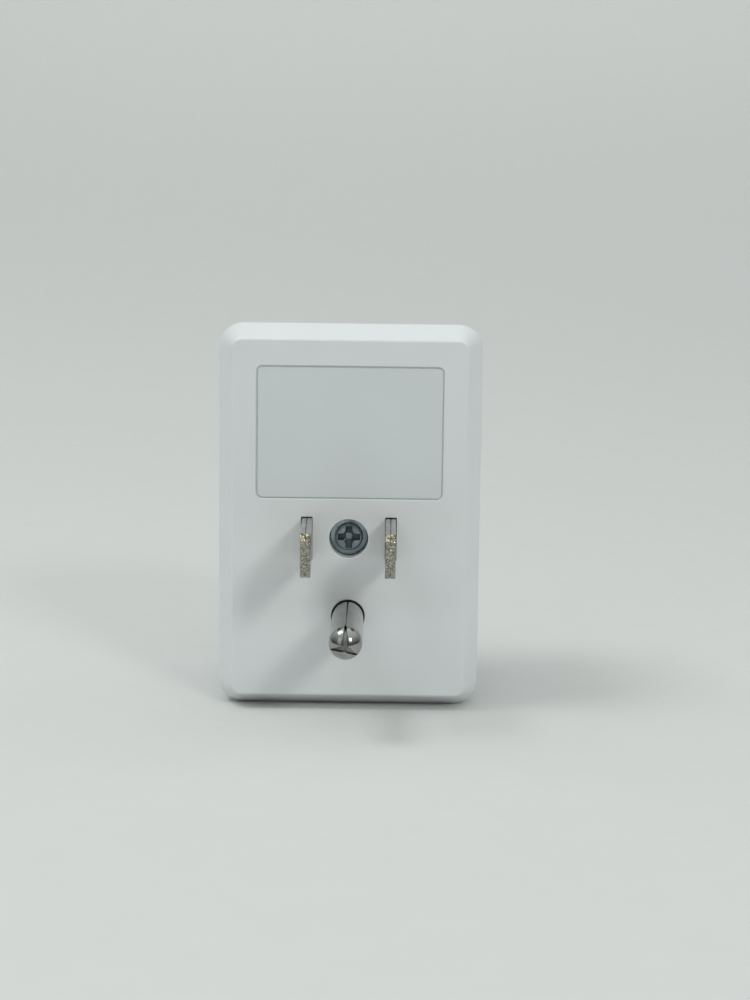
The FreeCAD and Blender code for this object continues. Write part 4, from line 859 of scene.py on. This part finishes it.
soft_light("window_light", (-0.60, 1.00, 0.62), (0, 0, 0), 0.24, 0.24, 3.3, (1.0, 0.985, 0.96))
soft_light("side_light", (0.45, 0.10, 0.85), (0, -0.01, 0), 0.34, 0.34, 2.4, (0.97, 1.0, 0.99))
soft_light("lamp_light", (0.70, 0.95, 0.40), (0, 0, 0), 0.5, 0.7, 0.55, (1.0, 0.90, 0.76))
soft_light("backdrop_light", (0, -1.15, 0.85), (0, -1.5, 0.3), 1.8, 0.3, 1.9, (1.0, 1.0, 0.98))

world = bpy.data.worlds.new("room")
world.use_nodes = True
room = world.node_tree
direction = room.nodes.new("ShaderNodeTexCoord")
axes = room.nodes.new("ShaderNodeSeparateXYZ")
room.links.new(direction.outputs["Generated"], axes.inputs["Vector"])


def glow(axis, sign, gain, before):
    """The room's light so far, with more of it towards one direction."""
    strength = before
    for operation, amount in (("MULTIPLY", sign * gain), ("MAXIMUM", 0.0), ("ADD", before)):
        step = room.nodes.new("ShaderNodeMath")
        step.operation = operation
        source = axes.outputs[axis] if operation == "MULTIPLY" else strength
        room.links.new(source, step.inputs[0])
        if isinstance(amount, float):
            step.inputs[1].default_value = amount
        else:
            room.links.new(amount, step.inputs[1])
        strength = step.outputs[0]
    return strength


ceiling_glow, rear_glow, faint_glow = 0.94, 0.5, 0.02
ceiling_and_rear = glow("Y", -1, rear_glow, glow("Z", 1, ceiling_glow, faint_glow))
room_tint = (0.96, 1.0, 0.99, 1)
wall_tint = (0.95, 1.0, 0.98, 1)
wall_strength = 0.60
background = room.nodes["Background"]
background.inputs["Color"].default_value = room_tint
room.links.new(ceiling_and_rear, background.inputs["Strength"])
pale_wall = room.nodes.new("ShaderNodeBackground")
pale_wall.inputs["Color"].default_value = wall_tint
pale_wall.inputs["Strength"].default_value = wall_strength
seen_directly = room.nodes.new("ShaderNodeLightPath")
either = room.nodes.new("ShaderNodeMixShader")
room.links.new(seen_directly.outputs["Is Camera Ray"], either.inputs["Fac"])
room.links.new(background.outputs["Background"], either.inputs[1])
room.links.new(pale_wall.outputs["Background"], either.inputs[2])
room.links.new(either.outputs["Shader"], room.nodes["World Output"].inputs["Surface"])
bpy.context.scene.world = world
bpy.context.scene.view_settings.view_transform = "Standard"

camera = bpy.data.objects.new("camera", bpy.data.cameras.new("camera"))
camera.data.sensor_fit = "VERTICAL"
camera.data.sensor_height = 36.0
camera.data.lens = 61.85
camera.data.clip_start = 0.01
viewer_place = (-0.0039, 0.2564, 0.0388)
tilt, roll = math.radians(7.3), math.radians(0.72)
turned_to_plug = Matrix.Rotation(math.pi, 4, "Z") @ Matrix.Rotation(math.pi / 2 - tilt, 4, "X")
camera.matrix_world = (Matrix.Translation(viewer_place) @ turned_to_plug
                       @ Matrix.Rotation(roll, 4, "Z"))
bpy.context.scene.collection.objects.link(camera)
bpy.context.scene.camera = camera
